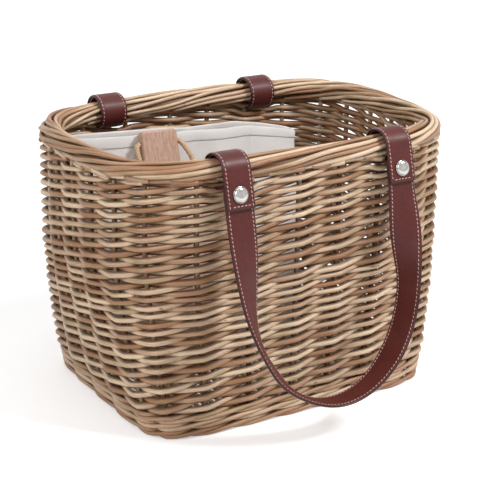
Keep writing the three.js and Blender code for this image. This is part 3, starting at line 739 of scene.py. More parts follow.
def strap_dip(points, height):
    """How far the straps press a row down: a smooth step across the strap times one in height."""
    from_middle = np.abs(np.abs(points[..., 0]) - TAB_OFFSET)
    across = smooth(1 - (from_middle - DIP_HALF_WIDTH) / DIP_FADE)
    on_long_side = np.abs(points[..., 1]) > LONG_SIDE
    return DIP * across * on_long_side * smooth((height - DIP_HEIGHT) / DIP_RISE)


def stroke_rods(low, pitch, shrink, spans, diameters, seed):
    """Slanting weave with one long rod from each stake. A rod goes in front of one stake and
    behind the next, and climbs one row every two stakes by a rate that shrinks. Its height, swing
    and thickness waver by sines and differ a little from rod to rod."""
    settings = bpy.context.scene.basket_willow
    chance = np.random.default_rng(seed)
    step = np.arange(-LEAD_STEPS, round(spans * STROKE_STEPS) + 1)[None] / STROKE_STEPS
    climb = (pitch / shrink) * (1 - np.exp(-shrink * step / 2))
    height = low + climb + chance.uniform(*HEIGHT_SPREAD, (STAKES, 1))
    phase = chance.uniform(*FULL_TURN, (2, STAKES, 1))
    height = height + waver(*HEIGHT_WAVER, step, phase[0])
    swing = settings.swing / MM * (1 + waver(*SWING_WAVER, step, phase[1]))
    depth = STAKE_DEPTH - WEAVE_OUT + swing * in_and_out(step)
    level, _ = wall_point(EACH_STAKE + step, height, depth)
    centres, outward = wall_point(EACH_STAKE + step, height - strap_dip(level, height), depth)
    diameter = mix(*diameters, step / spans) * settings.rod_share / DRAWN_SHARE
    diameter = diameter * chance.uniform(*GIRTH_SPREAD, (STAKES, 1))
    diameter = diameter * (1 + waver(*GIRTH_WAVER, step, phase[1]))
    return rods(centres, diameter / 2, outward, seed)


def wale_rods():
    """Three rows of three-rod waling. Each row is one curve of three turns round the basket, inside
    one stake and outside the next two, and slants down by a sine as it comes out."""
    parts = []
    place = np.arange(0, STAKES * WALE_TURNS, 1 / STROKE_STEPS)[None]
    share = np.mod(place / WALE_TURNS, 1)
    inside = smooth(1 - WALE_TURNS * np.minimum(share, 1 - share))
    for row, height in enumerate(WALE_HEIGHTS):
        z = np.maximum(height - WALE_SLANT * np.sin(2 * math.pi * share), WALE_LOWEST)
        centres, outward = wall_point(place + row, z, mix(*WALE_DEPTHS, inside))
        parts.append(rods(centres, WALE_RADIUS, outward, seed=50 + row, closed=True))
    return join_parts(parts)


def on_border(place, angle, radius, proud, seed):
    """Rods on the border's surface: centre plus the free radius, by cosine outward, by sine up."""
    centre, outward = wall_point(place, BORDER_CENTRE, BORDER_DEPTH)
    away = np.cos(angle)[..., None] * outward + np.sin(angle)[..., None] * UP
    centres = centre + (BORDER_RADIUS + proud - radius)[..., None] * away
    return rods(centres, radius, away, seed)


def rolled_rods(chance):
    """Rods of the roll. Each stake's rod winds round the border's section while it runs along it,
    from the outside bottom over the top to the inside, in sine waves of its own, and thins."""
    share = np.linspace(0, 1, BORDER_STEPS)[None]
    phase = chance.uniform(*FULL_TURN, (2, STAKES, 1))
    slow, fast = (waver(*size, share, start) for size, start in zip(BORDER_TURN_WAVERS, phase))
    turn = mix(*BORDER_TURNS, share) + chance.uniform(*BORDER_TURN_SPREAD, (STAKES, 1))
    angle = np.radians(turn + (slow + fast))
    diameter = mix(*BORDER_DIAMETERS, share) * chance.uniform(*BORDER_GIRTH_SPREAD, (STAKES, 1))
    proud = waver(*PROUD_WAVER, share, phase[1]) + chance.uniform(*PROUD_SPREAD, (STAKES, 1))
    return on_border(EACH_STAKE + BORDER_SPANS * share, angle, diameter / 2, proud, seed=61)


def border_core():
    """Plain ring along the border's middle line, which closes the view between the rolled rods."""
    place = np.arange(0, STAKES, 1 / STROKE_STEPS)[None]
    centres, outward = wall_point(place, BORDER_CENTRE, BORDER_DEPTH)
    return rods(centres, BORDER_CORE, outward, seed=62, closed=True)


def cut_stubs(chance):
    """Cut ends under the roll: short rods on the border's outside. The first two rings of each are
    pushed along it by the cosine of the turn, so that the cut slants."""
    ends = EACH_STAKE + chance.uniform(*STUB_STARTS, (STAKES, 1))
    short = np.concatenate([STUB_CUT, np.linspace(STUB_SHOULDER, STUB_SPANS, STUB_STEPS)])[None]
    angle = np.radians(chance.uniform(*STUB_TURNS, ends.shape)) - short * STUB_FALL
    radius = chance.uniform(*STUB_RADII, (STAKES, 1)) * np.ones_like(short)
    points, faces, values = on_border(ends + short, angle, radius, STUB_PROUD, seed=63)
    ring = points.reshape(STAKES, -1, ROD_SIDES, 3)
    along = unit(ring[:, 2].mean(axis=1) - ring[:, 0].mean(axis=1))[:, None, None]
    slant = CUT_SLANT * np.cos(ring_turns(ROD_SIDES))[:, None] * radius[:, :1, None, None]
    ring[:, :2] += slant * along
    values["rod_cut"] = np.broadcast_to((short == 0)[..., None], ring.shape[:3]).ravel()
    return ring.reshape(-1, 3), faces, values


def border_rods():
    chance = np.random.default_rng(BORDER_SEED)
    return join_parts([rolled_rods(chance), border_core(), cut_stubs(chance)])


class BASKET_OT_weave(bpy.types.Operator):
    """Make the stakes, the bottom wale, the two bands of weave and the rolled border"""

    bl_idname = "basket.weave"
    bl_label = "Weave"

    def execute(self, context):
        willow = willow_finish()
        for name, shape in (("bottom_wale", wale_rods()), ("lower_weave", stroke_rods(**LOWER_BAND)),
                            ("upper_weave", stroke_rods(**UPPER_BAND)), ("border", border_rods())):
            make_piece(name + "_rods", shape, "basket", willow, [name])
        height = np.linspace(*STAKE_HEIGHTS, STAKE_STEPS)[None]
        for place, number in enumerate(STAKE_NUMBERS):
            name = f"stake_{number:02d}"
            centres, outward = wall_point(float(place), height, STAKE_DEPTH)
            shape = rods(centres, STAKE_RADIUS, outward, seed=100 + place, sides=THICK_ROD_SIDES)
            make_piece(name + "_rod", shape, "basket", willow, [name])
        return {"FINISHED"}


class BASKET_OT_base(bpy.types.Operator):
    """Make the base: five long sticks and the rods woven across them"""

    bl_idname = "basket.base"
    bl_label = "Base"

    def execute(self, context):
        willow = bpy.data.materials["willow"]
        x = np.linspace(-STICK_HALF_LENGTH, STICK_HALF_LENGTH, STICK_STEPS)[None]
        for number in range(STICKS):
            y = (number - (STICKS - 1) / 2) * STICK_SPACING
            shape = self.level_rods(x, y, BASE_HEIGHT, STICK_RADIUS, THICK_ROD_SIDES,
                                    seed=200 + number)
            name = f"base_stick_{number + 1}"
            make_piece(name + "_rod", shape, "basket", willow, [name])
        make_piece("base_weave_rods", self.cross_rods(), "basket", willow, ["base_weave"])
        return {"FINISHED"}

    def level_rods(self, x, y, z, radius, sides, seed):
        """Rods through points of the base, with their rings counted from straight up."""
        centres = np.stack(np.broadcast_arrays(x, y, z), axis=-1)
        return rods(centres, radius, UP, seed, sides)

    def cross_rods(self):
        """Rods across the sticks: each goes over and under them by a cosine of its place in sticks,
        the next one the other way round, and it ends inside the wall."""
        number = np.arange(CROSS_RODS)[:, None]
        x = (number - (CROSS_RODS - 1) / 2) * CROSS_SPACING
        length, width, square = wall_sizes(BASE_HEIGHT)
        end_inset, side_inset = CROSS_INSETS
        half = half_across(x, length - end_inset, width - side_inset, square)
        y = np.linspace(-1, 1, CROSS_STEPS) * half
        side = np.where(number % 2, 1.0, -1.0)
        z = BASE_HEIGHT + CROSS_SWING * side * np.cos(math.pi * y / STICK_SPACING)
        return self.level_rods(x, y, z, CROSS_RADIUS, CROSS_SIDES, seed=210)


# Strap handles: the steps of the line, and where its straight part starts

FLAP_STEPS = 9
STRAIGHT_STEPS = 40
BOW_STEPS = 30
STRAIGHT_START = LOOP_RADIUS + LOOP_BEND + 4


def sag_at(drop):
    """How far the strap hangs back toward the basket: the square of its share of the drop."""
    share = np.maximum(0, (drop - RIVET_DROP) / (HANDLE_DROP - RIVET_DROP))
    return HANDLE_SAG * share * share


def strap_line():
    """Middle line of the strap from one flap's end to the other, as points, drops and sides: up the
    flap, round the border by a circle that narrows, round a small bend, down, and then by a quarter
    of an ellipse to the middle of the bow. The other side is its mirror image."""
    turn = np.radians(np.arange(90, 361, 5))
    radius = mix(FLAP_OUT, LOOP_RADIUS, smooth(turn / math.radians(90) - 1))
    flap = np.linspace(FLAP_LENGTH, FLAP_START, FLAP_STEPS)
    corner = np.radians(np.arange(90, -1, -10))
    tab_out = np.concatenate([np.full_like(flap, FLAP_OUT), radius * np.sin(turn),
                              LOOP_RADIUS - LOOP_BEND + LOOP_BEND * np.cos(corner)])
    tab_drop = np.concatenate([flap, radius * np.cos(turn),
                               LOOP_RADIUS + LOOP_BEND * (1 - np.sin(corner))])
    bow_top = HANDLE_DROP - HANDLE_BOW
    straight = np.linspace(STRAIGHT_START, bow_top, STRAIGHT_STEPS)
    bow = np.linspace(0, math.pi / 2, BOW_STEPS)[1:]
    drop = np.concatenate([straight, bow_top + HANDLE_BOW * np.sin(bow)])
    half = np.concatenate([np.full_like(straight, TAB_OFFSET), TAB_OFFSET * np.cos(bow)])
    x = np.concatenate([np.full_like(tab_out, TAB_OFFSET), half])
    out = np.concatenate([tab_out, LOOP_RADIUS - sag_at(drop)])
    down = np.concatenate([tab_drop, drop])
    hanging = np.concatenate([np.zeros_like(tab_out), drop])
    side = np.concatenate([-np.ones_like(x), np.ones_like(x[1:])])
    x, out, down, hanging = (np.concatenate([part, part[-2::-1]]) for part in (x, out, down, hanging))
    points = HINGE + out[:, None] * OUT + down[:, None] * DOWN
    points[:, 0] = x * side
    return points, hanging, side


def twist_at(drop, side):
    """How far the strap is turned out of the handle's plane: by a smooth step to its side's own
    twist, and by another to the bottom's, where both sides meet."""
    start, end, angle = (np.where(side < 0, left, right)
                         for left, right in zip(LEFT_TWIST, RIGHT_TWIST))
    early = angle * smooth((drop - start) / (end - start))
    bottom = smooth((drop - BOTTOM_TWIST_START) / (HANDLE_DROP - BOTTOM_TWIST_START))
    return np.radians(early + (BOTTOM_TWIST - angle) * bottom)


def strap_frame():
    """Middle line of the strap with its directions along, across and through. Across turns from
    outward to edge-on as the strap drops."""
    points, drop, side = strap_line()
    along = unit(np.gradient(points, axis=0))
    slope = sag_at(drop + 1) - sag_at(drop)
    face = unit(OUT + slope[:, None] * DOWN)
    twist = twist_at(drop, side)[:, None]
    outside = unit(np.cross(along, face))
    hanging = np.cos(twist) * outside + np.sin(twist) * face
    level = side[:, None] * np.array([1.0, 0.0, 0.0])
    across = np.where(drop[:, None] > 0, hanging, level)
    across = unit(across - along * dot(across, along))
    return points, along, across, np.cross(along, across)


# Strap's section: its points outside and inside the seam as shares of the half width, the crown's
# power, where the burnished edge starts and how wide it is, and the seam's groove
EDGE_PLACES = (1, 0.995, 0.97, 0.93, 0.88, 0.85)
FACE_PLACES = (0.76, 0.7, 0.45, 0.2, 0)
CROWN_POWER = 14
BURNISH_START = 0.9
BURNISH_WIDTH = 0.1
SEAM_INSET = 3.0
SEAM_DEPTH = 0.3
SEAM_WIDTH = 0.55

# Stitches, with places along the strap from its end, half sizes across and through, half length as
# a share of the pitch, and rings as place and size
STITCH_MARGIN = 3.5
HIDDEN_START = 116.5
HIDDEN_LENGTH = 20.0
STITCH_HALF_SIZES = (0.4, 0.36)
STITCH_HALF_LENGTH = 0.31
STITCH_LEAN = 0.2
STITCH_SIDES = 6
STITCH_RINGS = ((-1.0, 0.25), (-0.8, 1.0), (0.8, 1.0), (1.0, 0.25))
SEAM_RAISE = STRAP_THICKNESS / 2 - 0.18
FLAP_RAISE = STRAP_THICKNESS / 2 - 0.05


def strap_shape(width):
    """Strap: a section carried along the strap's line. It is half the thickness times the root of 1
    less a high power of the share across, which rounds the edges, less a bell curve at the seam."""
    half = width / 2
    seam = half - SEAM_INSET
    places = np.array([*EDGE_PLACES, seam / half, *FACE_PLACES])
    across = half * np.concatenate([places, -places[-2::-1]])
    rise = STRAP_THICKNESS / 2 * np.sqrt(np.maximum(0, 1 - (np.abs(across) / half) ** CROWN_POWER))
    rise = rise - SEAM_DEPTH * np.exp(-((np.abs(across) - seam) / SEAM_WIDTH) ** 2)
    section_across = np.concatenate([across, across[-2:0:-1]])
    section_through = np.concatenate([rise, -rise[-2:0:-1]])
    points, _, side, through = strap_frame()
    shape = (points[:, None] + section_across[:, None] * side[:, None]
             + section_through[:, None] * through[:, None])
    edge = smooth((np.abs(section_across) / half - BURNISH_START) / BURNISH_WIDTH)
    values = {"strap_edge": np.broadcast_to(edge, shape.shape[:2]).ravel()}
    return shape.reshape(-1, 3), tube_faces(point_numbers(shape[..., 0])), values


def stitch_shape(width, pitch):
    """Stitches: small bars on both faces along both edges, but not where the strap passes through
    the wall, and across each flap."""
    points, along, across, through = strap_frame()
    lengths = run_lengths(points)
    seam = width / 2 - SEAM_INSET
    at = np.arange(STITCH_MARGIN, lengths[-1] - STITCH_MARGIN, pitch)
    from_end = np.minimum(at, lengths[-1] - at)
    at = at[(from_end <= HIDDEN_START) | (from_end >= HIDDEN_START + HIDDEN_LENGTH)]
    place, forward, aside, up = (at_lengths(at, lengths, data)
                                 for data in (points, along, across, through))
    bars = []
    for face in (1, -1):
        for edge in (1, -1):
            bars.append((place + edge * seam * aside + face * SEAM_RAISE * up, forward, face * up))
    row = np.arange(-seam + pitch, seam - pitch / 2, pitch)[:, None]
    for end, inward in ((0, 1), (-1, -1)):
        for face in (1, -1):
            start = points[end] + inward * STITCH_MARGIN * along[end] + face * FLAP_RAISE * through[end]
            level = np.ones_like(row)
            bars.append((start + row * across[end], level * across[end], level * face * through[end]))
    return bar_shape(*(np.concatenate(column) for column in zip(*bars)), pitch)


def bar_shape(middles, forwards, ups, pitch):
    """Bars with six sides and narrow ends, each leaning a little to one side as it runs forward."""
    forwards = unit(forwards)
    sides = unit(np.cross(ups, forwards))
    ups = np.cross(forwards, sides)
    run, size = np.array(STITCH_RINGS).T[:, :, None]
    run = run * pitch * STITCH_HALF_LENGTH
    turn = np.arange(STITCH_SIDES) * 2 * math.pi / STITCH_SIDES
    half_width, half_height = STITCH_HALF_SIZES
    aside = half_width * size * np.cos(turn) + STITCH_LEAN * run
    rise = half_height * size * np.sin(turn)
    shape = middles[:, None, None] + run[..., None] * forwards[:, None, None]
    shape = shape + aside[..., None] * sides[:, None, None] + rise[..., None] * ups[:, None, None]
    return shape.reshape(-1, 3), tube_faces(point_numbers(shape[..., 0])), {}


# Rivets, as radius and height; the cap stands on the flap and the burr lies behind the strap
CAP_RADIUS = 7.3
CAP_FOOT = 0.9
CAP_RISE = 2.7
CAP_POWER = 0.6
CAP_TIP = 0.03
DOME_STEPS = 14
RIM_RADIUS = 7.45
RIM_ROLL = 0.55
RIM_STEPS = 9
CAP_OUT = FLAP_OUT + 1.75
POST = ((0.05, -8.0), (2.0, -8.0), (2.0, 0.0))
BURR = ((2.1, -0.1), (3.6, -0.1), (4.0, 0.25), (4.0, 1.0), (3.7, 1.3), (2.1, 1.3))
BURR_OUT = LOOP_RADIUS - 3.1


def cap_profile():
    """Cap: a post, a rolled rim by half a circle, and a flat dome by a power of the cosine and by
    the sine."""
    turn = np.linspace(0, math.pi / 2, DOME_STEPS)
    dome = np.stack([CAP_RADIUS * np.cos(turn) ** CAP_POWER,
                     CAP_FOOT + CAP_RISE * np.sin(turn)], axis=-1)
    dome[-1, 0] = CAP_TIP
    turn = np.linspace(-math.pi / 2, math.pi / 2, RIM_STEPS)
    rim = np.stack([RIM_RADIUS + RIM_ROLL * np.cos(turn),
                    RIM_ROLL + RIM_ROLL * np.sin(turn)], axis=-1)
    return np.concatenate([POST, rim, dome])


class BASKET_OT_handles(bpy.types.Operator):
    """Make the two strap handles with their stitches and rivets"""

    bl_idname = "basket.handles"
    bl_label = "Handles"

    def execute(self, context):
        settings = context.scene.basket_strap
        leather, thread, nickel = leather_finish(), thread_finish(), nickel_finish()
        width = settings.width / MM
        strap = strap_shape(width)
        stitches = stitch_shape(width, settings.stitch / MM)
        for label, half_turn in (("front", 1), ("back", -1)):
            body = label + "_handle"
            make_piece(body + "_leather", self.placed(strap, half_turn), body,
                       leather, [body + "_strap"])
            make_piece(body + "_stitches", self.placed(stitches, half_turn), body,
                       thread)
            for side, x in (("left", -TAB_OFFSET), ("right", TAB_OFFSET)):
                self.rivet(f"{label}_{side}_rivet", x, half_turn, body, nickel)
        return {"FINISHED"}

    def placed(self, shape, half_turn):
        """The shape as it is for 1, and turned half round the basket for -1."""
        points, faces, values = shape
        return points * np.array([half_turn, half_turn, 1.0]), faces, values

    def rivet(self, name, x, half_turn, body, nickel):
        """Rivet: a domed cap with a rolled rim and a post, and a small flat ring behind."""
        base = HINGE + RIVET_DROP * DOWN
        base[0] = x * half_turn
        for part, profile, out in (("cap", cap_profile(), CAP_OUT),
                                   ("back", np.array(BURR), BURR_OUT)):
            shape = self.placed(turned(profile, base + out * OUT, OUT), half_turn)
            make_piece(f"{name}_{part}_metal", shape, body, nickel,
                       [f"{name}_{part}"], sharp=40)


# Canvas bag: how its mouth sinks and falls away at the right corner; the rings of its cloth; its
# hollows as size, length, lean and phase; its folds as size, place, drift and width; and its hem's
# section as height and inset from the mouth's edge

BAG_SAG = 9.0
BAG_SAG_REACH = 150.0
BAG_CORNER_DROP = 17.0
BAG_CORNER_REACH = 66.0
BAG_CORNER_POWER = 1.3
BAG_CORNER_LEAN = 9.0
BAG_RIPPLE_LENGTH = 24.0
BAG_FULL_LENGTH_SHARE = 0.6
BAG_STEPS = 420
BAG_RINGS = 80
BAG_EDGE = BAG_TOP - 1
BAG_WALL_FOOT = 3.0
BAG_FLOOR_INSET = 3.0
BAG_FLOOR_HEIGHTS = (0.2, 2.2)
BAG_FLOOR_SPREADS = (0.05, 0.5, 1)
CLOTH_INSET = 1.0
HOLLOWS = ((1.2, 31, 2.2, 0), (0.72, 13, -5, 1))
FOLDS = ((2.2, 60, -50, 9), (2.6, -20, 90, 14))
FOOT_RIPPLE = 1.2
FOOT_RIPPLE_LENGTH = 22.0
CLOTH_THICKNESS = 1.3
DEEPEST_WAVE = 9.0
HEM = ((-12.0, 0.1), (-11.6, -0.5), (-10.0, -0.75), (-6.0, -0.9), (-1.5, -0.8), (0.2, -0.1),
       (0.6, 0.7), (0.2, 1.5), (-1.5, 2.1), (-6.0, 2.2), (-11.6, 1.9), (-12.0, 1.2))


def bag_ring(turn, height, inset, spread=1.0):
    """Ring of the bag: half sizes that change with the height times a superellipse, set back
    against the bag's back. The mouth sinks by a smooth step and a slow sine and falls away at its
    right corner by a power of the distance from it, and the corner leans out."""
    share = (height - CONTENTS_FLOOR) / BAG_HEIGHT
    length_share = mix(BAG_FOOT_SHARE, 1, smooth(share / BAG_FULL_LENGTH_SHARE))
    half_length = BAG_LENGTH / 2 * length_share - inset
    half_depth = mix(BAG_FOOT_DEPTH, BAG_MOUTH_DEPTH, share) / 2 - inset
    cosine, sine = np.cos(turn), np.sin(turn)
    round_part = np.abs(cosine) ** BAG_SQUARENESS + np.abs(sine) ** BAG_SQUARENESS
    reach = spread * round_part ** (-1 / BAG_SQUARENESS)
    x = BAG_LEFT + BAG_LENGTH / 2 + half_length * cosine * reach
    y = BAG_BACK - inset - half_depth + half_depth * sine * reach
    from_left = x - BAG_LEFT
    corner = np.maximum(0, 1 - (BAG_LENGTH - from_left) / BAG_CORNER_REACH)
    drop = BAG_SAG * smooth(from_left / BAG_SAG_REACH) + BAG_CORNER_DROP * corner ** BAG_CORNER_POWER
    drop = drop + np.sin(from_left / BAG_RIPPLE_LENGTH)
    return x + BAG_CORNER_LEAN * corner ** 2 * share ** 3, y, height - drop * share ** 3


def cloth_waves(x, share, turn):
    """How far the cloth stands back: hollows by sines that lean as they rise, and folds by bell
    curves that drift as they go down. Both fade toward the foot, where a ripple takes their place."""
    up = smooth(share)
    hollows = sum(size * np.sin(x / length + lean * share + phase)
                  for size, length, lean, phase in HOLLOWS)
    folds = sum(size * np.exp(-((x - place - drift * (1 - share)) / width) ** 2)
                for size, place, drift, width in FOLDS)
    ripple = FOOT_RIPPLE * np.sin(x / FOOT_RIPPLE_LENGTH) * (1 - up)
    return (hollows + folds) * up * np.abs(np.sin(turn)) + ripple


class BASKET_OT_bag(bpy.types.Operator):
    """Make the canvas bag that stands in the basket"""

    bl_idname = "basket.bag"
    bl_label = "Canvas bag"

    def execute(self, context):
        canvas = canvas_finish()
        make_piece("canvas_bag_cloth", self.shell(), "bag", canvas, ["canvas_bag"])
        make_piece("canvas_bag_hem", self.hem(), "bag", canvas)
        return {"FINISHED"}

    def surface(self, height, inset, spread=1.0):
        """Ring of the cloth: the bag's ring, set back by its waves."""
        turn = ring_turns(BAG_STEPS)
        share = (height - CONTENTS_FLOOR) / BAG_HEIGHT
        x, _, _ = bag_ring(turn, height, inset, spread)
        back = inset + CLOTH_INSET + np.maximum(0, cloth_waves(x, share, turn))
        x, y, z = bag_ring(turn, height, np.minimum(back, DEEPEST_WAVE), spread)
        return np.stack(np.broadcast_arrays(x, y, z), axis=-1)

    def shell(self):
        """Open bag: rings up the outside, over the mouth's edge, down the inside and across."""
        walls = np.linspace(CONTENTS_FLOOR + BAG_WALL_FOOT, BAG_EDGE, BAG_RINGS)
        below, above = (CONTENTS_FLOOR + height for height in BAG_FLOOR_HEIGHTS)
        rings = [self.surface(below, BAG_FLOOR_INSET, spread) for spread in BAG_FLOOR_SPREADS]
        rings += [self.surface(height, 0.0) for height in walls]
        rings += [self.surface(height, CLOTH_THICKNESS) for height in walls[::-1]]
        rings += [self.surface(above, BAG_FLOOR_INSET, spread) for spread in BAG_FLOOR_SPREADS[::-1]]
        return self.cloth(rings)

    def hem(self):
        """Turned hem: a band round the mouth, a little proud of the cloth inside and out."""
        return self.cloth([self.surface(BAG_EDGE + up, inset) for up, inset in HEM], closed=True)

    def cloth(self, rings, closed=False):
        """Faces over the rings, with each point's place in the cloth in millimetres."""
        rings = np.array(rings)
        around = np.cumsum(np.linalg.norm(np.roll(rings, -1, axis=1) - rings, axis=-1), axis=1)
        place = np.stack([around, rings[..., 2], np.zeros_like(around)], axis=-1)
        faces = tube_faces(point_numbers(around), closed)
        return rings.reshape(-1, 3), faces, {"cloth_place": place.reshape(-1, 3)}


# Serving board's corners and edges, and its rope's strands

BOARD_FOOT_CORNER = 6.0
BOARD_TOP_CORNER = 5.0
BOARD_EDGE = 2.2
CORNER_STEPS = 9
EDGE_STEPS = 5
BODY_STEPS = 12
SHOULDER_STEPS = 18
GRIP_STEPS = 14
ROPE_GAP = 0.3
ROPE_STEPS = 260
STRANDS = 3
STRAND_TURN_LENGTH = 11.0
STRAND_SHARE = 0.27

# Spline: steps between two knots, and the knots whose times each level of means is taken between
KNOT_STEPS = 14
MEAN_LEVELS = (((0, 1), (1, 2), (2, 3)), ((0, 2), (1, 3)), ((1, 2),))


def on_board(points):
    """Board points, drawn upright with the foot at the origin, leaned back and set in place."""
    half = BOARD_THICKNESS / 2
    lift = half * math.sin(BOARD_LEAN)
    foot = BAG_BACK - BAG_FOOT_DEPTH - (half + BOARD_GAP) / math.cos(BOARD_LEAN)
    cosine, sine = math.cos(BOARD_LEAN), math.sin(BOARD_LEAN)
    x, y, z = points[..., 0], points[..., 1], points[..., 2]
    return np.stack([x + BOARD_CENTRE, y * cosine + z * sine + foot + lift * math.tan(BOARD_LEAN),
                     z * cosine - y * sine + CONTENTS_FLOOR + lift], axis=-1)


def rope_line():
    """Middle line of the rope from the handle's right edge, down in front and up to the left edge,
    through the same points as the part's source by a centripetal spline."""
    side = BOARD_GRIP / 2
    height = BOARD_LENGTH - ROPE_HOLE_DROP
    front = -(BOARD_THICKNESS / 2 + ROPE_RADIUS + ROPE_GAP)
    left, right = (np.array([
        [0, 0, height], [turn * side, 0, height],
        [turn * (side + ROPE_RADIUS * 1.7), front / 6, height - ROPE_RADIUS],
        [turn * (side + spread), front / 2, height - ROPE_DROP / 4],
        [turn * (side + spread), front, height - ROPE_DROP / 2],
        [turn * side, front, height - ROPE_DROP * 0.86],
    ]) for turn, spread in zip((-1, 1), ROPE_SPREADS))
    low = np.array([[0, front, height - ROPE_DROP]])
    knots = np.concatenate([right, low, left[::-1]])
    return spline(knots, KNOT_STEPS)[KNOT_STEPS:-KNOT_STEPS]


def spline(knots, steps):
    """Centripetal spline through knots: a point is a weighted mean of two means, which are taken of
    means of neighbouring knots. A knot's time goes by the square roots of the distances to it."""
    first = 2 * knots[:1] - knots[1:2]
    last = 2 * knots[-1:] - knots[-2:-1]
    knots = np.concatenate([first, knots, last])
    gaps = np.linalg.norm(np.diff(knots, axis=0), axis=1) ** 0.5
    times = np.concatenate([[0], np.cumsum(gaps)])
    pieces = []
    for number in range(len(knots) - 3):
        time = times[number:number + 4]
        at = np.linspace(time[1], time[2], steps, endpoint=False)[:, None]
        means = knots[number:number + 4]
        for level in MEAN_LEVELS:
            means = [((time[end] - at) * low + (at - time[start]) * high) / (time[end] - time[start])
                     for (start, end), low, high in zip(level, means, means[1:])]
        pieces.append(means[0])
    return np.concatenate(pieces + [knots[-2:-1]])


def corner_inset(distance, radius):
    """How far a round corner stands back at a distance from the end: the radius less the other side
    of a right triangle."""
    rest = np.clip(radius - distance, 0, radius)
    return radius - np.sqrt(np.maximum(radius ** 2 - rest ** 2, 0))


class BASKET_OT_board(bpy.types.Operator):
    """Make the serving board and the rope loop through its handle"""

    bl_idname = "basket.board"
    bl_label = "Serving board"

    def execute(self, context):
        make_piece("serving_board_wood", self.board(), "board", board_finish(),
                   ["serving_board"], sharp=50)
        self.rope(context.scene.basket_contents.rope_diameter / MM)
        return {"FINISHED"}

    def heights(self, body_end):
        """Heights of the board's rings, close together in the round corners and the shoulder."""
        bend = np.linspace(0, math.pi / 2, CORNER_STEPS)
        shoulder_end = body_end + BOARD_SHOULDER
        top = BOARD_LENGTH - BOARD_TOP_CORNER
        return np.concatenate([
            BOARD_FOOT_CORNER * (1 - np.cos(bend)),
            np.linspace(BOARD_FOOT_CORNER, body_end, BODY_STEPS)[1:],
            np.linspace(body_end, shoulder_end, SHOULDER_STEPS)[1:],
            np.linspace(shoulder_end, top, GRIP_STEPS)[1:],
            top + BOARD_TOP_CORNER * np.sin(bend[1:])])

    def board(self):
        """Paddle: a rounded section carried up the board, as wide as the body, then drawn in by a
        smooth shoulder to the handle, and closed by round corners at both ends."""
        body_end = BOARD_LENGTH - BOARD_GRIP_LENGTH - BOARD_SHOULDER
        up = self.heights(body_end)[:, None]
        half = mix(BOARD_WIDTH / 2, BOARD_GRIP / 2, smooth((up - body_end) / BOARD_SHOULDER))
        half = half - corner_inset(up, BOARD_FOOT_CORNER)
        half = half - corner_inset(BOARD_LENGTH - up, BOARD_TOP_CORNER)
        thick = BOARD_THICKNESS / 2 - corner_inset(np.minimum(up, BOARD_LENGTH - up), BOARD_EDGE)
        turn = np.linspace(0, math.pi / 2, EDGE_STEPS)
        across, through = [], []
        for side, face in ((1, 1), (-1, 1), (-1, -1), (1, -1)):
            order = turn if side == face else turn[::-1]
            across.append(side * (half - BOARD_EDGE + BOARD_EDGE * np.cos(order)))
            through.append(face * (thick - BOARD_EDGE + BOARD_EDGE * np.sin(order)))
        across, through = np.concatenate(across, axis=1), np.concatenate(through, axis=1)
        points = np.stack(np.broadcast_arrays(across, through, up), axis=-1)
        values = {"board_place": points[..., [0, 2, 1]].reshape(-1, 3)}
        return on_board(points).reshape(-1, 3), tube_faces(point_numbers(across)), values

    def rope(self, diameter):
        """Rope of three strands: each strand winds round the middle line by a cosine and a sine."""
        line = on_board(rope_line())
        lengths = run_lengths(line)
        line = at_lengths(np.linspace(0, lengths[-1], ROPE_STEPS), lengths, line)
        along = unit(np.gradient(line, axis=0))
        back = np.array([0.0, math.cos(BOARD_LEAN), -math.sin(BOARD_LEAN)])
        back = unit(back - along * dot(along, back))
        across = np.cross(along, back)
        length = run_lengths(line)
        strand = np.arange(STRANDS)[:, None] / STRANDS
        turn = 2 * math.pi * (length / STRAND_TURN_LENGTH + strand)
        away = np.cos(turn)[..., None] * back + np.sin(turn)[..., None] * across
        radius = diameter * STRAND_SHARE
        shape = rods(line + (diameter / 2 - radius) * away, radius, away, seed=300)
        rope = make_piece("board_rope_strands", shape, "board", jute_finish(), ["board_rope"])
        diameter * MM


# Stage: the camera as it is fitted to the photograph, in metres and, for the lens, millimetres

CAMERA_TURN = math.radians(31.09)
CAMERA_PITCH = math.radians(19.24)
CAMERA_ROLL = math.radians(0.75)
CAMERA_DISTANCE = 1.5557
CAMERA_TARGET = (0.0, 0.0, 0.1475)
CAMERA_LENS = 104.5
CAMERA_SHIFT = (0.0186, -0.0194)

# Light: the floor's own light near the basket and where it becomes full, the world's light on the
# object, and the lamps with their places and sizes in metres and their power in watts
FLOOR_COLOUR = (0.86, 0.86, 0.86)
FLOOR_REACH = 6.0
FLOOR_GLOW = 0.42
GLOW_RISE = (0.6, 3.0)
WORLD_LIGHT = 0.2
LAMPS = (("key", (1.3, -1.45, 2.3), 0.7, 62), ("fill", (-1.8, -0.8, 1.6), 1.2, 24),
         ("top", (-0.1, 0.3, 2.4), 1.4, 14))


def seen_directly(tree):
    """1 for what the camera, metal or glass sees, and 0 for light that falls on the object."""
    light = tree.nodes.new("ShaderNodeLightPath").outputs
    camera, metal, glass = (Value(tree, light[f"Is {ray} Ray"])
                            for ray in ("Camera", "Glossy", "Transmission"))
    return camera.larger(metal).larger(glass)


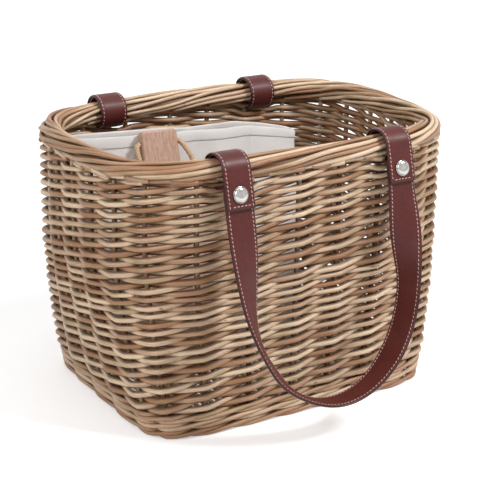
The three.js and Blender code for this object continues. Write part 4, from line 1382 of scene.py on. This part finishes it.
class BASKET_OT_stage(bpy.types.Operator):
    """Make the floor, the lamps, the world and the camera"""

    bl_idname = "basket.stage"
    bl_label = "Stage"

    def execute(self, context):
        self.floor()
        self.world(context.scene)
        for name, place, size, power in LAMPS:
            self.lamp(name, place, size, power)
        self.camera(context.scene)
        context.scene.view_settings.view_transform = "Standard"
        return {"FINISHED"}

    def floor(self):
        """White floor that keeps the object's shadow. To the camera it also glows, by a ramp of the
        distance from the basket, so that it shows as white."""
        finish = Finish("stage_floor", 0.9)
        away = finish.add("ShaderNodeVectorMath", {"operation": "LENGTH"}, {0: finish.place()}, "Value")
        strength = finish.ramp(away, *GLOW_RISE, FLOOR_GLOW, 1.0) * seen_directly(finish.tree)
        glow = finish.add("ShaderNodeEmission", None, {"Color": (1, 1, 1, 1), "Strength": strength})
        lit = Value(finish.tree, finish.shader.outputs[0])
        both = finish.add("ShaderNodeAddShader", None, {0: lit, 1: glow})
        finish.feed(finish.tree.nodes["Material Output"].inputs[0], both)
        mesh = bpy.data.meshes.new("stage_floor")
        corners = [(side * FLOOR_REACH, end * FLOOR_REACH, 0)
                   for side, end in ((-1, -1), (1, -1), (1, 1), (-1, 1))]
        mesh.from_pydata(corners, [], [(0, 1, 2, 3)])
        mesh.materials.append(finish.done(FLOOR_COLOUR))
        floor = bpy.data.objects.new("stage_floor", mesh)
        bpy.context.scene.collection.objects.link(floor)

    def world(self, scene):
        """Even pale light, which the camera and metal see as white."""
        world = bpy.data.worlds.new("stage_world")
        world.use_nodes = True
        tree = world.node_tree
        background = tree.nodes["Background"]
        background.inputs["Color"].default_value = (1, 1, 1, 1)
        strength = WORLD_LIGHT + (1 - WORLD_LIGHT) * seen_directly(tree)
        tree.links.new(strength.socket, background.inputs["Strength"])
        scene.world = world

    def lamp(self, name, place, size, power):
        """Square soft lamp that faces the middle of the basket."""
        data = bpy.data.lights.new("stage_" + name, "AREA")
        data.shape = "SQUARE"
        data.size = size
        data.energy = power
        lamp = bpy.data.objects.new("stage_" + name, data)
        lamp.location = place
        away = Vector(place) - Vector(CAMERA_TARGET)
        lamp.rotation_euler = away.to_track_quat("Z", "Y").to_euler()
        bpy.context.scene.collection.objects.link(lamp)

    def camera(self, scene):
        """Camera at the photograph's height and turn, slightly rolled and shifted as it is."""
        data = bpy.data.cameras.new("stage_camera")
        data.lens = CAMERA_LENS
        data.shift_x, data.shift_y = CAMERA_SHIFT
        data.clip_end = 50
        away = Vector((-math.sin(CAMERA_TURN) * math.cos(CAMERA_PITCH),
                       -math.cos(CAMERA_TURN) * math.cos(CAMERA_PITCH), math.sin(CAMERA_PITCH)))
        turn = away.to_track_quat("Z", "Y").to_matrix().to_4x4() @ Matrix.Rotation(CAMERA_ROLL, 4, "Z")
        camera = bpy.data.objects.new("stage_camera", data)
        camera.matrix_world = Matrix.Translation(Vector(CAMERA_TARGET) + away * CAMERA_DISTANCE) @ turn
        scene.collection.objects.link(camera)
        scene.camera = camera


class BASKET_PT_panel(bpy.types.Panel):
    """Panel with the basket's sizes, colours and pieces"""

    bl_idname = "BASKET_PT_panel"
    bl_label = "Woven Picnic Basket"
    bl_space_type = "VIEW_3D"
    bl_region_type = "UI"
    bl_category = "Basket"

    def draw(self, context):
        for group, _ in SETTINGS:
            settings = getattr(context.scene, group)
            for key in settings.__annotations__:
                self.layout.prop(settings, key)
        for operator in OPERATORS:
            self.layout.operator(operator.bl_idname)


SETTINGS = (("basket_willow", WillowSettings), ("basket_strap", StrapSettings),
            ("basket_contents", ContentsSettings))
OPERATORS = (BASKET_OT_stage, BASKET_OT_board, BASKET_OT_weave, BASKET_OT_base, BASKET_OT_handles,
             BASKET_OT_bag)


def register():
    for name, group in SETTINGS:
        bpy.utils.register_class(group)
        setattr(bpy.types.Scene, name, bpy.props.PointerProperty(type=group))
    for kind in (*OPERATORS, BASKET_PT_panel):
        bpy.utils.register_class(kind)


def unregister():
    for kind in (BASKET_PT_panel, *OPERATORS[::-1]):
        bpy.utils.unregister_class(kind)
    for name, group in SETTINGS[::-1]:
        delattr(bpy.types.Scene, name)
        bpy.utils.unregister_class(group)


def main():
    register()
    bpy.ops.basket.stage()
    bpy.ops.basket.board()
    bpy.ops.basket.weave()
    bpy.ops.basket.base()
    bpy.ops.basket.handles()
    bpy.ops.basket.bag()


if __name__ == "__main__":
    main()
